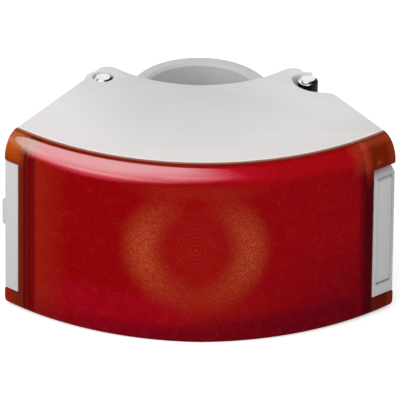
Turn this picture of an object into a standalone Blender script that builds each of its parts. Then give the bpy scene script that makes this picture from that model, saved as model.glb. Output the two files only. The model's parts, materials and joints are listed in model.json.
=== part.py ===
# Barricade warning light with a wide curved lens, a hinged rear door and a post collar
# Metres, +Z up, lens towards -Y, origin under the middle of the overall box

from math import asin, atan2, cos, pi, radians, sin, sqrt, tan

import bmesh
import bpy
from mathutils import Matrix, Vector
from mathutils.geometry import intersect_line_line_2d

MM = 0.001

# Clearances
FIT = 0.3 * MM
TRAVEL_CLEARANCE = 0.4 * MM
TONGUE_CLEARANCE = 2 * MM

# Lens, turned about an upright axis behind it
BODY_HEIGHT = 102.5 * MM
LENS_RADIUS = 152 * MM
LENS_HALF_ANGLE = radians(42.4)
LENS_WALL = 3 * MM
LENS_TONGUE = 2.7 * MM
SHOULDER_DEPTH = 10 * MM
SHOULDER_DROP = 14 * MM
TUCK_DEPTH = 4.5 * MM
TUCK_RISE = 5 * MM
NOTCH_RISE = 10 * MM
NOTCH_DROP = 15.4 * MM
LEFT_NOTCH_ANGLE = radians(38.8)
RIGHT_NOTCH_ANGLE = radians(36.8)

# Housing
PLATE = 3 * MM
WALL = 3 * MM
PLATE_DEPTH = 85 * MM
RIM_SETBACK = 4.5 * MM
SIDE_INSET = 2 * MM
WINDOW_HALF_ANGLE = radians(34.5)
FRONT_MARGIN = 6 * MM
REAR_MARGIN = 14 * MM
GASKET = 1.7 * MM

# Ears with the hinge pin on the left and the lock bolt on the right
EAR_X = 51.5 * MM
EAR_REACH = 8.5 * MM
EAR_RADIUS = 12 * MM
EAR_TIP_ANGLE = radians(88)
EAR_TIP_RADIUS = 5 * MM
LUG_RADIUS = 10 * MM
LUG_HEIGHT = 8 * MM
LUG_SPREAD = radians(20)
LUG_ROOT = 0.88
CORNER_POCKET = 16 * MM
CORNER_WIDTH = 11.5 * MM
LOCK_OFFSET = 5.5 * MM
STUD_RADIUS = 5.4 * MM
STUD_EDGE = 1.1 * MM
SCOOP_RADIUS = 15.5 * MM
SCOOP_OFFSET = 7 * MM
SCOOP_BACK = 5.8 * MM
SCOOP_DEPTH = 22 * MM
SCOOP_REACH = 30 * MM
SCOOP_SLOPE = 5 * MM
SCOOP_CORNER = 7 * MM
SCOOP_OPEN_ANGLE = radians(70)
SCOOP_WALL = 1.4 * MM

# Hinge pin, its clip and the lock bolt
PIN_RADIUS = 4 * MM
PIN_HEAD = 4 * MM
PIN_EDGE = 0.6 * MM
CLIP_GROOVE = 3.2 * MM
CLIP_RADIUS = 6.8 * MM
CLIP_HEIGHT = 1 * MM
CLIP_POCKET = 3.2 * MM
CLIP_MOUTH = radians(35)
BOLT_RADIUS = 3 * MM
BOLT_LIFT = 9 * MM
BOSS_HEIGHT = 6 * MM
WASHER = 3 * MM
WASHER_RADIUS = 9 * MM
WASHER_GROOVE = 2.3 * MM
INSERT_RADIUS = 4.8 * MM
INSERT_LENGTH = 12 * MM

# Rear door
DOOR_SETBACK = 3 * MM
DOOR_WALL = 3 * MM
DOOR_HALF_WIDTH = 45 * MM
DOOR_WINDOW = 34 * MM
SEAL = 2 * MM
SEAL_RIM = 3.5 * MM
KNUCKLE_RADIUS = 7 * MM
LOCK_BLOCK = 9 * MM
LOCK_BLOCK_MARGIN = 2 * MM
TONGUE_HEIGHT = 10 * MM
TONGUE_FRONT = 4 * MM
TONGUE_BACK = 8.5 * MM
TONGUE_CORNER = 2 * MM

# Post collar on the door
COLLAR_REACH = 134 * MM
COLLAR_BORE_RADIUS = 30.5 * MM
COLLAR_WALL = 8 * MM
COLLAR_DROP = 24 * MM
COLLAR_HEIGHT = 60 * MM
COLLAR_CHAMFER = 1.5 * MM
COLLAR_RIB = 5 * MM
COLLAR_RIBS = 3
COLLAR_NECK = 30 * MM
SET_SCREW_RADIUS = 4 * MM
SET_SCREW_INSET = 21 * MM

# Light unit
OPTIC_DROP = 2.25 * MM
PANEL = 3 * MM
PANEL_HALF_ANGLE = radians(38.3)
PANEL_MARGIN = 4 * MM
REFLECTOR_RISE = 10 * MM
REFLECTOR_DEPTH = 21 * MM
REFLECTOR_WALL = 1.5 * MM
REFLECTOR_THROAT = 10 * MM
REFLECTOR_RIM_LIFT = 4 * MM
REFLECTOR_FLANGE = 1.5 * MM
FLANGE_THICKNESS = 1.6 * MM
OPTIC_RADIUS = 8 * MM
EMITTER_SIDE = 7 * MM
EMITTER_HEIGHT = 1.5 * MM
LED_BOARD_SIDE = 40 * MM
BOARD = 1.6 * MM
SINK_BASE = 2 * MM
SINK_FIN = 3.5 * MM
SINK_FIN_WIDTH = 1.6 * MM
SINK_FINS = 7

# Battery tray and D cells
CELL_RADIUS = 16.9 * MM
CELL_LENGTH = 59.5 * MM
CELL_NIB_RADIUS = 4.7 * MM
CELL_NIB = 1.9 * MM
CELL_SPACING = 36 * MM
CELL_GAP = 0.4 * MM
TRAY_FLOOR = 3 * MM
TRAY_BACK = 3 * MM
TRAY_HALF_WIDTH = 44 * MM
TRAY_CRADLE = 15 * MM
SPRING_HEIGHT = 7 * MM
SPRING_RADIUS = 7 * MM
SPRING_TIP_RADIUS = 4 * MM
SPRING_WIRE = 0.6 * MM
SPRING_TURNS = 3
STRIP = 0.8 * MM
STRIP_WIDTH = 9 * MM

# Control board on the tray's right end
CONTROL_LENGTH = 36 * MM
CONTROL_HEIGHT = 56 * MM
CONTROL_RISE = 8 * MM
CHIP_SIDE = 9 * MM
CHIP_HEIGHT = 1.8 * MM
CAPACITOR_RADIUS = 5 * MM
CAPACITOR_HEIGHT = 12 * MM

# Cheeks in the lens notches
CHEEK_EDGE = 0.8 * MM
CHEEK_FACET = 6 * MM
CHEEK_LEDGE = 7 * MM
LATCH_FRAME = 2.6 * MM
LATCH_END = 1.8 * MM
LATCH_DEPTH = 5 * MM
LATCH_FACE = 0.5 * MM
LATCH_PIN_RADIUS = 1 * MM
LATCH_PIN_GRIP = 1.2 * MM
BUTTON_HEIGHT = 15 * MM
BUTTON_WIDTH = 5 * MM
BUTTON_PROUD = 2.9 * MM
BUTTON_SETBACK = 3.2 * MM
BUTTON_DEPTH = 3 * MM
BUTTON_TRAVEL = 1.2 * MM
BUTTON_LEVEL = 54.7 * MM
SWITCH_DEPTH = 3 * MM
SWITCH_MARGIN = 0.6 * MM

# Small screws
SCREW_RADIUS = 1.5 * MM
SCREW_LENGTH = 9 * MM
SCREW_HEAD_RADIUS = 2.9 * MM
SCREW_HEAD = 2 * MM
PANEL_SCREW_LENGTH = 5 * MM
SCREW_INSET = 9 * MM

# Facets of round shapes
ARC_STEPS = 108
COLLAR_STEPS = 48
ROUND_STEPS = 24
REFLECTOR_STEPS = 28
SMALL_STEPS = 12

# Places worked out from the sizes above
COLLAR_RADIUS = COLLAR_BORE_RADIUS + COLLAR_WALL
DEPTH = COLLAR_REACH + COLLAR_RADIUS
ARC_Y = LENS_RADIUS - DEPTH / 2
COLLAR_Y = COLLAR_REACH - DEPTH / 2
COLLAR_TOP = BODY_HEIGHT - COLLAR_DROP
COLLAR_LOW = COLLAR_TOP - COLLAR_HEIGHT
PLATE_RADIUS = LENS_RADIUS - SHOULDER_DEPTH
PLATE_Y = ARC_Y - PLATE_RADIUS
PLATE_UNDER = BODY_HEIGHT - PLATE
EAR_Y = PLATE_Y + PLATE_DEPTH + EAR_REACH
LOCK_X = EAR_X + LOCK_OFFSET
REAR_RADIUS = (EAR_X**2 + EAR_REACH**2 - EAR_RADIUS**2) / (2 * (EAR_RADIUS + EAR_REACH))
REAR_Y = PLATE_Y + PLATE_DEPTH + REAR_RADIUS
FRONT_WALL_RADIUS = PLATE_RADIUS - RIM_SETBACK
GASKET_RADIUS = FRONT_WALL_RADIUS + FIT
RIM_RADIUS = GASKET_RADIUS + GASKET + FIT
DOOR_RADIUS = REAR_RADIUS + DOOR_SETBACK
DOOR_LOW = LUG_HEIGHT + FIT
DOOR_HIGH = BODY_HEIGHT - LUG_HEIGHT - FIT
SEAL_RADIUS = DOOR_RADIUS + DOOR_WALL + FIT
REAR_WALL_RADIUS = SEAL_RADIUS + SEAL + FIT
NOTCH_HIGH = BODY_HEIGHT - NOTCH_DROP
BOSS_HIGH = BODY_HEIGHT - SCOOP_DEPTH
WASHER_LOW = BOSS_HIGH - BOSS_HEIGHT - TRAVEL_CLEARANCE - BOLT_LIFT - WASHER
TONGUE_HIGH = WASHER_LOW - FIT
TONGUE_LOW = TONGUE_HIGH - TONGUE_HEIGHT
TONGUE_TIP = LOCK_X - BOLT_RADIUS - TONGUE_CLEARANCE
LOWER_BOSS_HIGH = TONGUE_LOW - FIT
LOWER_BOSS_LOW = LOWER_BOSS_HIGH - INSERT_LENGTH - PLATE
FAR = 2 * LENS_RADIUS
FORWARD = (0, -1, 0)
OPTIC_HEIGHT = BODY_HEIGHT / 2 - OPTIC_DROP
REFLECTOR_RADIUS = OPTIC_HEIGHT - REFLECTOR_RISE
PANEL_RADIUS = FRONT_WALL_RADIUS - WALL - FIT
RIM_Y = ARC_Y - PANEL_RADIUS - FIT - FLANGE_THICKNESS - REFLECTOR_RIM_LIFT
LED_Y = RIM_Y + REFLECTOR_DEPTH + REFLECTOR_WALL + FIT
SINK_Y = LED_Y + BOARD + FIT
TRAY_Y = SINK_Y + SINK_BASE + SINK_FIN + FIT
CELL_Y = TRAY_Y + TRAY_BACK + CELL_GAP + CELL_RADIUS
FLOOR_TOP = PLATE + FIT + TRAY_FLOOR
CELL_LOW = FLOOR_TOP + FIT + SPRING_HEIGHT + FIT
ROOF_LOW = CELL_LOW + CELL_LENGTH + CELL_NIB + FIT + STRIP + FIT
BUTTON_RADIUS = LENS_RADIUS - BUTTON_SETBACK
POCKET_DEPTH = BUTTON_DEPTH + BUTTON_TRAVEL + TRAVEL_CLEARANCE + SWITCH_DEPTH + FIT
LATCH_ANGLE = (RIGHT_NOTCH_ANGLE + LENS_HALF_ANGLE) / 2
CHEEK_WIDTH = 2 * LENS_RADIUS * sin((LENS_HALF_ANGLE - RIGHT_NOTCH_ANGLE) / 2)
LATCH_LEFT = LATCH_FRAME - CHEEK_WIDTH / 2
LATCH_RIGHT = CHEEK_WIDTH / 2 - LATCH_END
LATCH_LOW = NOTCH_RISE + CHEEK_LEDGE
LATCH_HIGH = NOTCH_HIGH - CHEEK_FACET
LATCH_FOOT = (LATCH_DEPTH - FIT - LATCH_FACE) / 2
LATCH_PIN_DEPTH = LATCH_FACE + LATCH_FOOT
LATCH_PIN_LEVEL = LATCH_LOW + FIT + LATCH_FOOT

PARTS = bpy.data.collections.new("barricade_warning_light")
CUTTERS = bpy.data.collections.new("cutters")


def clear_scene():
    for item in list(bpy.data.objects):
        bpy.data.objects.remove(item, do_unlink=True)
    for collection in (PARTS, CUTTERS):
        bpy.context.scene.collection.children.link(collection)


def material(name, colour, roughness, metallic=0.0, alpha=1.0):
    made = bpy.data.materials.new(name)
    made.use_nodes = True
    shader = made.node_tree.nodes["Principled BSDF"]
    shader.inputs["Base Color"].default_value = (*colour, 1)
    shader.inputs["Roughness"].default_value = roughness
    shader.inputs["Metallic"].default_value = metallic
    shader.inputs["Alpha"].default_value = alpha
    return made


# Finishes read from the photograph
def make_finishes():
    return {
        "grey": material("grey_moulding", (0.62, 0.62, 0.61), 0.45),
        "red": material("red_lens", (0.45, 0.01, 0.01), 0.12, alpha=0.6),
        "rubber": material("black_rubber", (0.03, 0.03, 0.03), 0.8),
        "dark": material("dark_moulding", (0.05, 0.045, 0.045), 0.6),
        "mirror": material("reflector_coat", (0.85, 0.7, 0.45), 0.15, 1.0),
        "clear": material("clear_optic", (0.9, 0.88, 0.82), 0.05),
        "emitter": material("emitter_phosphor", (0.85, 0.7, 0.2), 0.4),
        "board": material("circuit_board", (0.02, 0.16, 0.06), 0.5),
        "alloy": material("aluminium", (0.7, 0.7, 0.71), 0.35, 1.0),
        "steel": material("zinc_steel", (0.6, 0.6, 0.6), 0.35, 1.0),
        "chrome": material("chrome", (0.75, 0.75, 0.76), 0.12, 1.0),
        "brass": material("brass", (0.7, 0.5, 0.2), 0.3, 1.0),
        "cell": material("cell_jacket", (0.05, 0.06, 0.09), 0.4),
        "black": material("black_component", (0.02, 0.02, 0.02), 0.5),
    }


FINISH = make_finishes()


# Mesh helpers
def add_object(name, mesh):
    mesh.shade_smooth()
    mesh.set_sharp_from_angle(angle=radians(35))
    made = bpy.data.objects.new(name, mesh)
    CUTTERS.objects.link(made)
    made.hide_render = True
    made.display_type = 'WIRE'
    return made


def finish_part(part, finish):
    CUTTERS.objects.unlink(part)
    PARTS.objects.link(part)
    part.hide_render = False
    part.display_type = 'TEXTURED'
    part.data.materials.clear()
    part.data.materials.append(FINISH[finish])
    return part


def combine(target, other, operation):
    modifier = target.modifiers.new(operation.lower(), 'BOOLEAN')
    modifier.operation = operation
    modifier.solver = 'EXACT'
    modifier.object = other
    return target


def cut(target, *cutters):
    for cutter in cutters:
        combine(target, cutter, 'DIFFERENCE')
    return target


def join(target, *others):
    for other in others:
        combine(target, other, 'UNION')
    return target


def bevel(target, width, segments=2, angle=radians(50)):
    modifier = target.modifiers.new("edge", 'BEVEL')
    modifier.width = width
    modifier.segments = segments
    modifier.limit_method = 'ANGLE'
    modifier.angle_limit = angle
    return target


def evaluated_mesh(source):
    bpy.context.view_layer.update()
    graph = bpy.context.evaluated_depsgraph_get()
    return bpy.data.meshes.new_from_object(source.evaluated_get(graph))


def weld(mesh, distance=0.000001):
    form = bmesh.new()
    form.from_mesh(mesh)
    bmesh.ops.remove_doubles(form, verts=form.verts, dist=distance)
    bmesh.ops.recalc_face_normals(form, faces=form.faces)
    form.to_mesh(mesh)
    form.free()


def curve_to_object(name, curve):
    holder = bpy.data.objects.new(name + "_curve", curve)
    CUTTERS.objects.link(holder)
    mesh = evaluated_mesh(holder)
    weld(mesh)
    bpy.data.objects.remove(holder, do_unlink=True)
    return add_object(name, mesh)


# Upright solid on a flat outline of (x, y) points
def prism(name, outline, low, high):
    curve = bpy.data.curves.new(name, 'CURVE')
    curve.dimensions = '2D'
    curve.fill_mode = 'BOTH'
    curve.extrude = (high - low) / 2
    spline = curve.splines.new('POLY')
    spline.points.add(len(outline) - 1)
    for point, (x, y) in zip(spline.points, outline):
        point.co = (x, y, 0, 1)
    spline.use_cyclic_u = True
    made = curve_to_object(name, curve)
    made.location.z = (low + high) / 2
    return made


def box(name, low, high):
    form = bmesh.new()
    bmesh.ops.create_cube(form, size=1)
    low = Vector(low)
    high = Vector(high)
    bmesh.ops.scale(form, vec=high - low, verts=form.verts)
    mesh = bpy.data.meshes.new(name)
    form.to_mesh(mesh)
    form.free()
    made = add_object(name, mesh)
    made.location = (low + high) / 2
    return made


# Round bar along local Z
def rod(name, radius, low, high, steps=ROUND_STEPS):
    form = bmesh.new()
    depth = high - low
    bmesh.ops.create_cone(form, cap_ends=True, segments=steps, radius1=radius, radius2=radius, depth=depth)
    bmesh.ops.translate(form, vec=(0, 0, (low + high) / 2), verts=form.verts)
    mesh = bpy.data.meshes.new(name)
    form.to_mesh(mesh)
    form.free()
    return add_object(name, mesh)


# Profile of (radius, height) points, outer side first from top to bottom
def turned(name, profile, steps=ROUND_STEPS, ring=False):
    mesh = bpy.data.meshes.new(name)
    edges = [(i, i + 1) for i in range(len(profile) - 1)]
    if ring:
        edges.append((len(profile) - 1, 0))
    mesh.from_pydata([(radius, 0, height) for radius, height in profile], edges, [])
    made = add_object(name, mesh)
    modifier = made.modifiers.new("turn", 'SCREW')
    modifier.steps = steps
    modifier.render_steps = steps
    modifier.use_merge_vertices = True
    modifier.merge_threshold = 0.00001
    modifier.use_smooth_shade = True
    return made


def aim(part, point, direction):
    turn = Vector(direction).to_track_quat('Z', 'Y')
    part.matrix_world = Matrix.Translation(Vector(point)) @ turn.to_matrix().to_4x4()
    return part


# Plan geometry
def arc(centre, radius, start, end, steps):
    x, y = centre
    turns = [start + (end - start) * i / steps for i in range(steps + 1)]
    return [(x + radius * cos(turn), y + radius * sin(turn)) for turn in turns]


def mirrored(points):
    return [(-x, y) for x, y in reversed(points)]


# Point about the lens axis, angle 0 straight ahead and positive to the right
def polar(radius, angle):
    return (radius * sin(angle), ARC_Y - radius * cos(angle))


def outward(angle):
    return Vector((sin(angle), -cos(angle), 0))


def along(angle):
    return Vector((cos(angle), sin(angle), 0))


def front_arc(radius, half_angle, steps=28):
    return [polar(radius, half_angle * (2 * i / steps - 1)) for i in range(steps + 1)]


def sector(name, half_angle, low, high):
    return prism(name, [(0, ARC_Y), *front_arc(FAR, half_angle, 4)], low, high)


def side_wedge(name, inner_angle, side, low, high):
    near = polar(FAR, inner_angle)
    far = polar(FAR, pi / 2)
    outline = [(0, ARC_Y), near, (far[0], near[1]), far]
    if side < 0:
        outline = mirrored(outline)
    return prism(name, outline, low, high)


# Height of the rear circle's edge at a sideways distance
def rear_edge(radius, x):
    return REAR_Y - sqrt(radius**2 - x**2)


def rear_arc(radius, right, left=None, steps=20):
    start = asin(right / radius) - pi / 2
    end = -asin((left or right) / radius) - pi / 2
    return arc((0, REAR_Y), radius, start, end, steps)


# Shapes shared by lens and gasket
def lens_outer_profile(inner_radius):
    top = PLATE_UNDER - FIT
    edge = PLATE_RADIUS + FIT
    shoulder = [
        (PLATE_RADIUS + SHOULDER_DEPTH * sin(turn), BODY_HEIGHT - SHOULDER_DROP * (1 - cos(turn)))
        for turn in [radians(10 * i) for i in range(1, 10)]
    ]
    tuck = [
        (LENS_RADIUS - TUCK_DEPTH * (1 - cos(turn)), TUCK_RISE * (1 - sin(turn)))
        for turn in [radians(18 * i) for i in range(6)]
    ]
    rear = [(edge, 0), (edge, PLATE + FIT), (inner_radius, PLATE + FIT), (inner_radius, top)]
    return [(edge, top), (edge, BODY_HEIGHT), *shoulder, *tuck, *rear]


def lens_inner_profile():
    top = PLATE_UNDER - FIT - LENS_TONGUE
    low = PLATE + FIT + LENS_TONGUE
    spring = BODY_HEIGHT - SHOULDER_DROP
    shoulder = [
        (PLATE_RADIUS + (SHOULDER_DEPTH - LENS_WALL) * sin(turn), spring + (top - spring) * cos(turn))
        for turn in [radians(15 * i) for i in range(7)]
    ]
    back = FRONT_WALL_RADIUS - WALL
    inner = LENS_RADIUS - LENS_WALL
    return [(back, top), *shoulder, (inner, low + LENS_WALL), (inner - LENS_WALL, low), (back, low)]


def on_lens_axis(part):
    part.location.y = ARC_Y
    return part


def notch_cutters(name, margin):
    low = NOTCH_RISE - margin
    high = NOTCH_HIGH + margin
    turn = margin / PLATE_RADIUS
    return [
        side_wedge(name + "_left", LEFT_NOTCH_ANGLE - turn, -1, low, high),
        side_wedge(name + "_right", RIGHT_NOTCH_ANGLE - turn, 1, low, high),
    ]


def lens_void():
    void = on_lens_axis(turned("lens_void", lens_inner_profile(), ARC_STEPS, ring=True))
    void_angle = LENS_HALF_ANGLE - LENS_WALL / PLATE_RADIUS
    combine(void, sector("lens_void_sector", void_angle, -PLATE, BODY_HEIGHT + PLATE), 'INTERSECT')
    return cut(void, *notch_cutters("lens_void_notch", LENS_WALL))


def make_lens():
    lens = on_lens_axis(turned("lens", lens_outer_profile(RIM_RADIUS), ARC_STEPS, ring=True))
    combine(lens, sector("lens_sector", LENS_HALF_ANGLE, -PLATE, BODY_HEIGHT + PLATE), 'INTERSECT')
    cut(lens, *notch_cutters("lens_notch", 0), lens_void())
    return finish_part(lens, "red")


def make_lens_gasket():
    low = PLATE + FIT
    high = PLATE_UNDER - FIT
    outer = GASKET_RADIUS + GASKET
    profile = [(outer, high), (outer, low), (GASKET_RADIUS, low), (GASKET_RADIUS, high)]
    gasket = on_lens_axis(turned("lens_gasket", profile, ARC_STEPS, ring=True))
    combine(gasket, sector("gasket_sector", LENS_HALF_ANGLE, -PLATE, BODY_HEIGHT + PLATE), 'INTERSECT')
    cut(gasket, *notch_cutters("gasket_notch", 0), lens_void())
    return finish_part(gasket, "rubber")


# Straight side of the top plate on the right, from its front corner to the ear tip
def side_line():
    corner = Vector(polar(PLATE_RADIUS, LENS_HALF_ANGLE))
    tip = Vector((EAR_X, EAR_Y)) + EAR_RADIUS * Vector((cos(EAR_TIP_ANGLE), sin(EAR_TIP_ANGLE)))
    return corner, tip


# Rounded tip that leaves the straight side and runs into the ear's round back
def ear_edge():
    corner, tip = side_line()
    run = (tip - corner).normalized()
    inward = Vector((-run.y, run.x))
    middle = Vector((EAR_X, EAR_Y))
    offset = tip + inward * EAR_TIP_RADIUS - middle
    ahead = offset.dot(run)
    reach = sqrt(ahead**2 - offset.length_squared + (EAR_RADIUS - EAR_TIP_RADIUS) ** 2) - ahead
    from_middle = offset + run * reach
    start = atan2(-inward.y, -inward.x)
    blend = atan2(from_middle.y, from_middle.x)
    to_rear_centre = Vector((-EAR_X, REAR_Y - EAR_Y))
    meeting = pi - to_rear_centre.angle(Vector((-1, 0)))
    tip_arc = arc(middle + from_middle, EAR_TIP_RADIUS, start, blend, 5)
    return tip_arc + arc(middle, EAR_RADIUS, blend, meeting, 5)[1:]


# The ear's round back runs tangent into the hollow rear edge
def plate_outline():
    ear = ear_edge()
    rear = rear_arc(REAR_RADIUS, ear[-1][0])
    return front_arc(PLATE_RADIUS, LENS_HALF_ANGLE) + ear + rear[1:-1] + mirrored(ear)


# Corners of the walls on the right: at the front, at the side and beside the rear window
def wall_corners():
    corner, tip = side_line()
    run = (tip - corner).normalized()
    start = corner + SIDE_INSET * Vector((-run.y, run.x))
    from_axis = start - Vector((0, ARC_Y))
    ahead = from_axis.dot(run)
    reach = -ahead - sqrt(ahead**2 - from_axis.length_squared + FRONT_WALL_RADIUS**2)
    front = start + run * reach
    side = start + run * ((EAR_Y - CORNER_POCKET - start.y) / run.y)
    inner_x = EAR_X - CORNER_WIDTH
    inner = Vector((inner_x, rear_edge(REAR_WALL_RADIUS, inner_x)))
    return front, side, inner


def wall_outline():
    front, side, inner = wall_corners()
    front_angle = Vector((front.x, ARC_Y - front.y)).angle(Vector((0, 1)))
    right = [tuple(side)]
    rear = rear_arc(REAR_WALL_RADIUS, inner.x)
    return front_arc(FRONT_WALL_RADIUS, front_angle) + right + rear + mirrored(right)


# Round lug about an ear's axis, grown out of the corner wall on the right
def lug_outline(x, radius):
    _, side, inner = wall_corners()
    edge = inner - side
    sink = Vector((edge.y, -edge.x)).normalized() * WALL / 2
    far = side + edge * LUG_ROOT - sink
    near = side + edge * (1 - LUG_ROOT) - sink
    return arc((x, EAR_Y), radius, -LUG_SPREAD, pi + LUG_SPREAD, 16) + [tuple(far), tuple(near)]


# Upright wall along a closed outline, thickened inwards
def wall_loop(name, outline, low, high, thickness):
    form = bmesh.new()
    verts = [form.verts.new((x, y, low)) for x, y in outline]
    edges = [form.edges.new(pair) for pair in zip(verts, verts[1:] + verts[:1])]
    grown = bmesh.ops.extrude_edge_only(form, edges=edges)
    raised = [item for item in grown["geom"] if isinstance(item, bmesh.types.BMVert)]
    bmesh.ops.translate(form, vec=(0, 0, high - low), verts=raised)
    bmesh.ops.recalc_face_normals(form, faces=form.faces)
    mesh = bpy.data.meshes.new(name)
    form.to_mesh(mesh)
    form.free()
    made = add_object(name, mesh)
    modifier = made.modifiers.new("thickness", 'SOLIDIFY')
    modifier.thickness = thickness
    modifier.offset = -1
    modifier.use_even_offset = True
    return made


# Curved band between two radii about the lens axis
def front_band(name, outer, inner, half_angle, low, high):
    return prism(name, front_arc(outer, half_angle) + front_arc(inner, half_angle)[::-1], low, high)


# Curved band between two radii about the rear circle
def rear_band(name, outer, inner, right, left, low, high):
    return prism(name, rear_arc(outer, right, left) + rear_arc(inner, right, left)[::-1], low, high)


# Edge of the scooped pocket: close behind the stud, wide on its left and in front of it
def scoop_edge(margin):
    back = SCOOP_BACK + margin
    left = SCOOP_RADIUS - SCOOP_OFFSET + margin
    behind = arc((0, 0), back, SCOOP_OPEN_ANGLE, pi, 10)
    behind = [(LOCK_X + (x if x > 0 else x * left / back), EAR_Y + y) for x, y in behind]
    ahead = arc((LOCK_X + SCOOP_OFFSET, EAR_Y), SCOOP_RADIUS + margin, pi, 3 * pi / 2, 10)
    return behind + ahead[1:]


# Pocket open to the right, with a rounded corner where its front edge leaves the plate
def scoop_outline():
    edge = scoop_edge(0)
    corner, tip = side_line()
    start = Vector(edge[-1])
    ahead = Vector((SCOOP_REACH, -SCOOP_SLOPE)).normalized()
    down = (corner - tip).normalized()
    meeting = intersect_line_line_2d(start, start + ahead * FAR, corner, tip)
    turn = ahead.angle(down)
    setback = SCOOP_CORNER * tan(turn / 2)
    centre = meeting - ahead * setback + SCOOP_CORNER * Vector((ahead.y, -ahead.x))
    first = atan2(ahead.x, -ahead.y)
    rounded = arc(centre, SCOOP_CORNER, first, first - turn, 6)
    opening = Vector((cos(SCOOP_OPEN_ANGLE), sin(SCOOP_OPEN_ANGLE)))
    far = Vector((LOCK_X, EAR_Y)) + opening * SCOOP_REACH
    return edge + rounded + [(far.x + SCOOP_REACH, rounded[-1][1]), tuple(far)]


# Wall round the pocket, rooted in the housing's side wall
def scoop_wall_outline():
    front, side, _ = wall_corners()
    root = side + (front - side).normalized() * 2 * WALL
    return scoop_edge(SCOOP_WALL) + [tuple(root)]


def upright_hole(name, x, radius, low, high):
    hole = rod(name, radius, low, high)
    hole.location.x = x
    hole.location.y = EAR_Y
    return hole


def make_housing():
    housing = prism("housing", plate_outline(), PLATE_UNDER, BODY_HEIGHT)
    pin_lug = mirrored(lug_outline(EAR_X, LUG_RADIUS))
    bolt_lug = lug_outline(LOCK_X, LUG_RADIUS)
    join(
        housing,
        wall_loop("walls", wall_outline(), PLATE / 2, BODY_HEIGHT - PLATE / 2, WALL),
        prism("floor_plate", plate_outline(), 0, PLATE),
        prism("upper_pin_lug", pin_lug, BODY_HEIGHT - LUG_HEIGHT, BODY_HEIGHT - PLATE / 2),
        prism("lower_pin_lug", pin_lug, PLATE / 2, LUG_HEIGHT),
        prism("upper_bolt_lug", bolt_lug, BOSS_HIGH - BOSS_HEIGHT, BOSS_HIGH + PLATE),
        prism("scoop_wall", scoop_wall_outline(), BOSS_HIGH - BOSS_HEIGHT, BODY_HEIGHT),
        prism("lower_bolt_lug", bolt_lug, LOWER_BOSS_LOW, LOWER_BOSS_HIGH),
    )
    front_high = BODY_HEIGHT - FRONT_MARGIN
    rear_high = BODY_HEIGHT - REAR_MARGIN
    inner_face = FRONT_WALL_RADIUS - WALL
    behind = inner_face - WALL
    within = REAR_WALL_RADIUS + 2 * WALL
    pin_hole = PIN_RADIUS + FIT
    bolt_hole = BOLT_RADIUS + TRAVEL_CLEARANCE
    cut(
        housing,
        front_band("front_window", PLATE_RADIUS, behind, WINDOW_HALF_ANGLE, FRONT_MARGIN, front_high),
        rear_band("rear_window", REAR_RADIUS, within, DOOR_WINDOW, DOOR_WINDOW, REAR_MARGIN, rear_high),
        prism("scoop", scoop_outline(), BOSS_HIGH, BODY_HEIGHT + PLATE),
        upright_hole("pin_hole", -EAR_X, pin_hole, -PLATE, BODY_HEIGHT + PLATE),
        upright_hole(
            "pin_head_hole", -EAR_X, STUD_RADIUS + FIT, BODY_HEIGHT - PIN_HEAD - FIT, BODY_HEIGHT + PLATE
        ),
        upright_hole("clip_pocket", -EAR_X, CLIP_RADIUS + FIT, -PLATE, CLIP_POCKET),
        upright_hole("bolt_hole", LOCK_X, bolt_hole, LOWER_BOSS_LOW - PLATE, BODY_HEIGHT),
        upright_hole(
            "insert_hole", LOCK_X, INSERT_RADIUS + FIT, LOWER_BOSS_HIGH - INSERT_LENGTH, LOWER_BOSS_HIGH + FIT
        ),
    )
    for number, (angle, level) in enumerate(panel_screw_places()):
        hole = rod(f"panel_screw_hole_{number}", SCREW_RADIUS + FIT, -PLATE, WALL + 2 * PLATE, SMALL_STEPS)
        cut(housing, aim(hole, (*polar(inner_face, angle), level), outward(angle)))
    return finish_part(housing, "grey")


# Rounded edge that both studs show at the top
def stud_crown(top):
    rounded = arc((STUD_RADIUS - STUD_EDGE, top - STUD_EDGE), STUD_EDGE, pi / 2, 0, 3)
    return [(0, top), *rounded]


# Hinge pin with a flush head and a groove for its clip
def make_hinge_pin():
    top = BODY_HEIGHT
    groove = CLIP_POCKET - FIT
    profile = [
        *stud_crown(top),
        (STUD_RADIUS, top - PIN_HEAD),
        (PIN_RADIUS, top - PIN_HEAD),
        (PIN_RADIUS, groove),
        (CLIP_GROOVE, groove),
        (CLIP_GROOVE, groove - CLIP_HEIGHT - 2 * FIT),
        (PIN_RADIUS, groove - CLIP_HEIGHT - 2 * FIT),
        (PIN_RADIUS, FIT),
        (0, FIT),
    ]
    pin = turned("hinge_pin", profile)
    pin.location = (-EAR_X, EAR_Y, 0)
    return finish_part(pin, "chrome")


# Open ring that snaps sideways into a groove
def snap_ring(name, x, radius, groove, low, high):
    outer = arc((x, EAR_Y), radius, CLIP_MOUTH, 2 * pi - CLIP_MOUTH, 20)
    inner = arc((x, EAR_Y), groove + FIT, 2 * pi - CLIP_MOUTH, CLIP_MOUTH, 20)
    return finish_part(prism(name, outer + inner, low, high), "steel")


def make_hinge_clip():
    high = CLIP_POCKET - 2 * FIT
    return snap_ring("hinge_clip", -EAR_X, CLIP_RADIUS, CLIP_GROOVE, high - CLIP_HEIGHT, high)


# Washer on the bolt that clamps the door's tongue
def make_lock_washer():
    return snap_ring("lock_washer", LOCK_X, WASHER_RADIUS, WASHER_GROOVE, WASHER_LOW, WASHER_LOW + WASHER)


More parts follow.
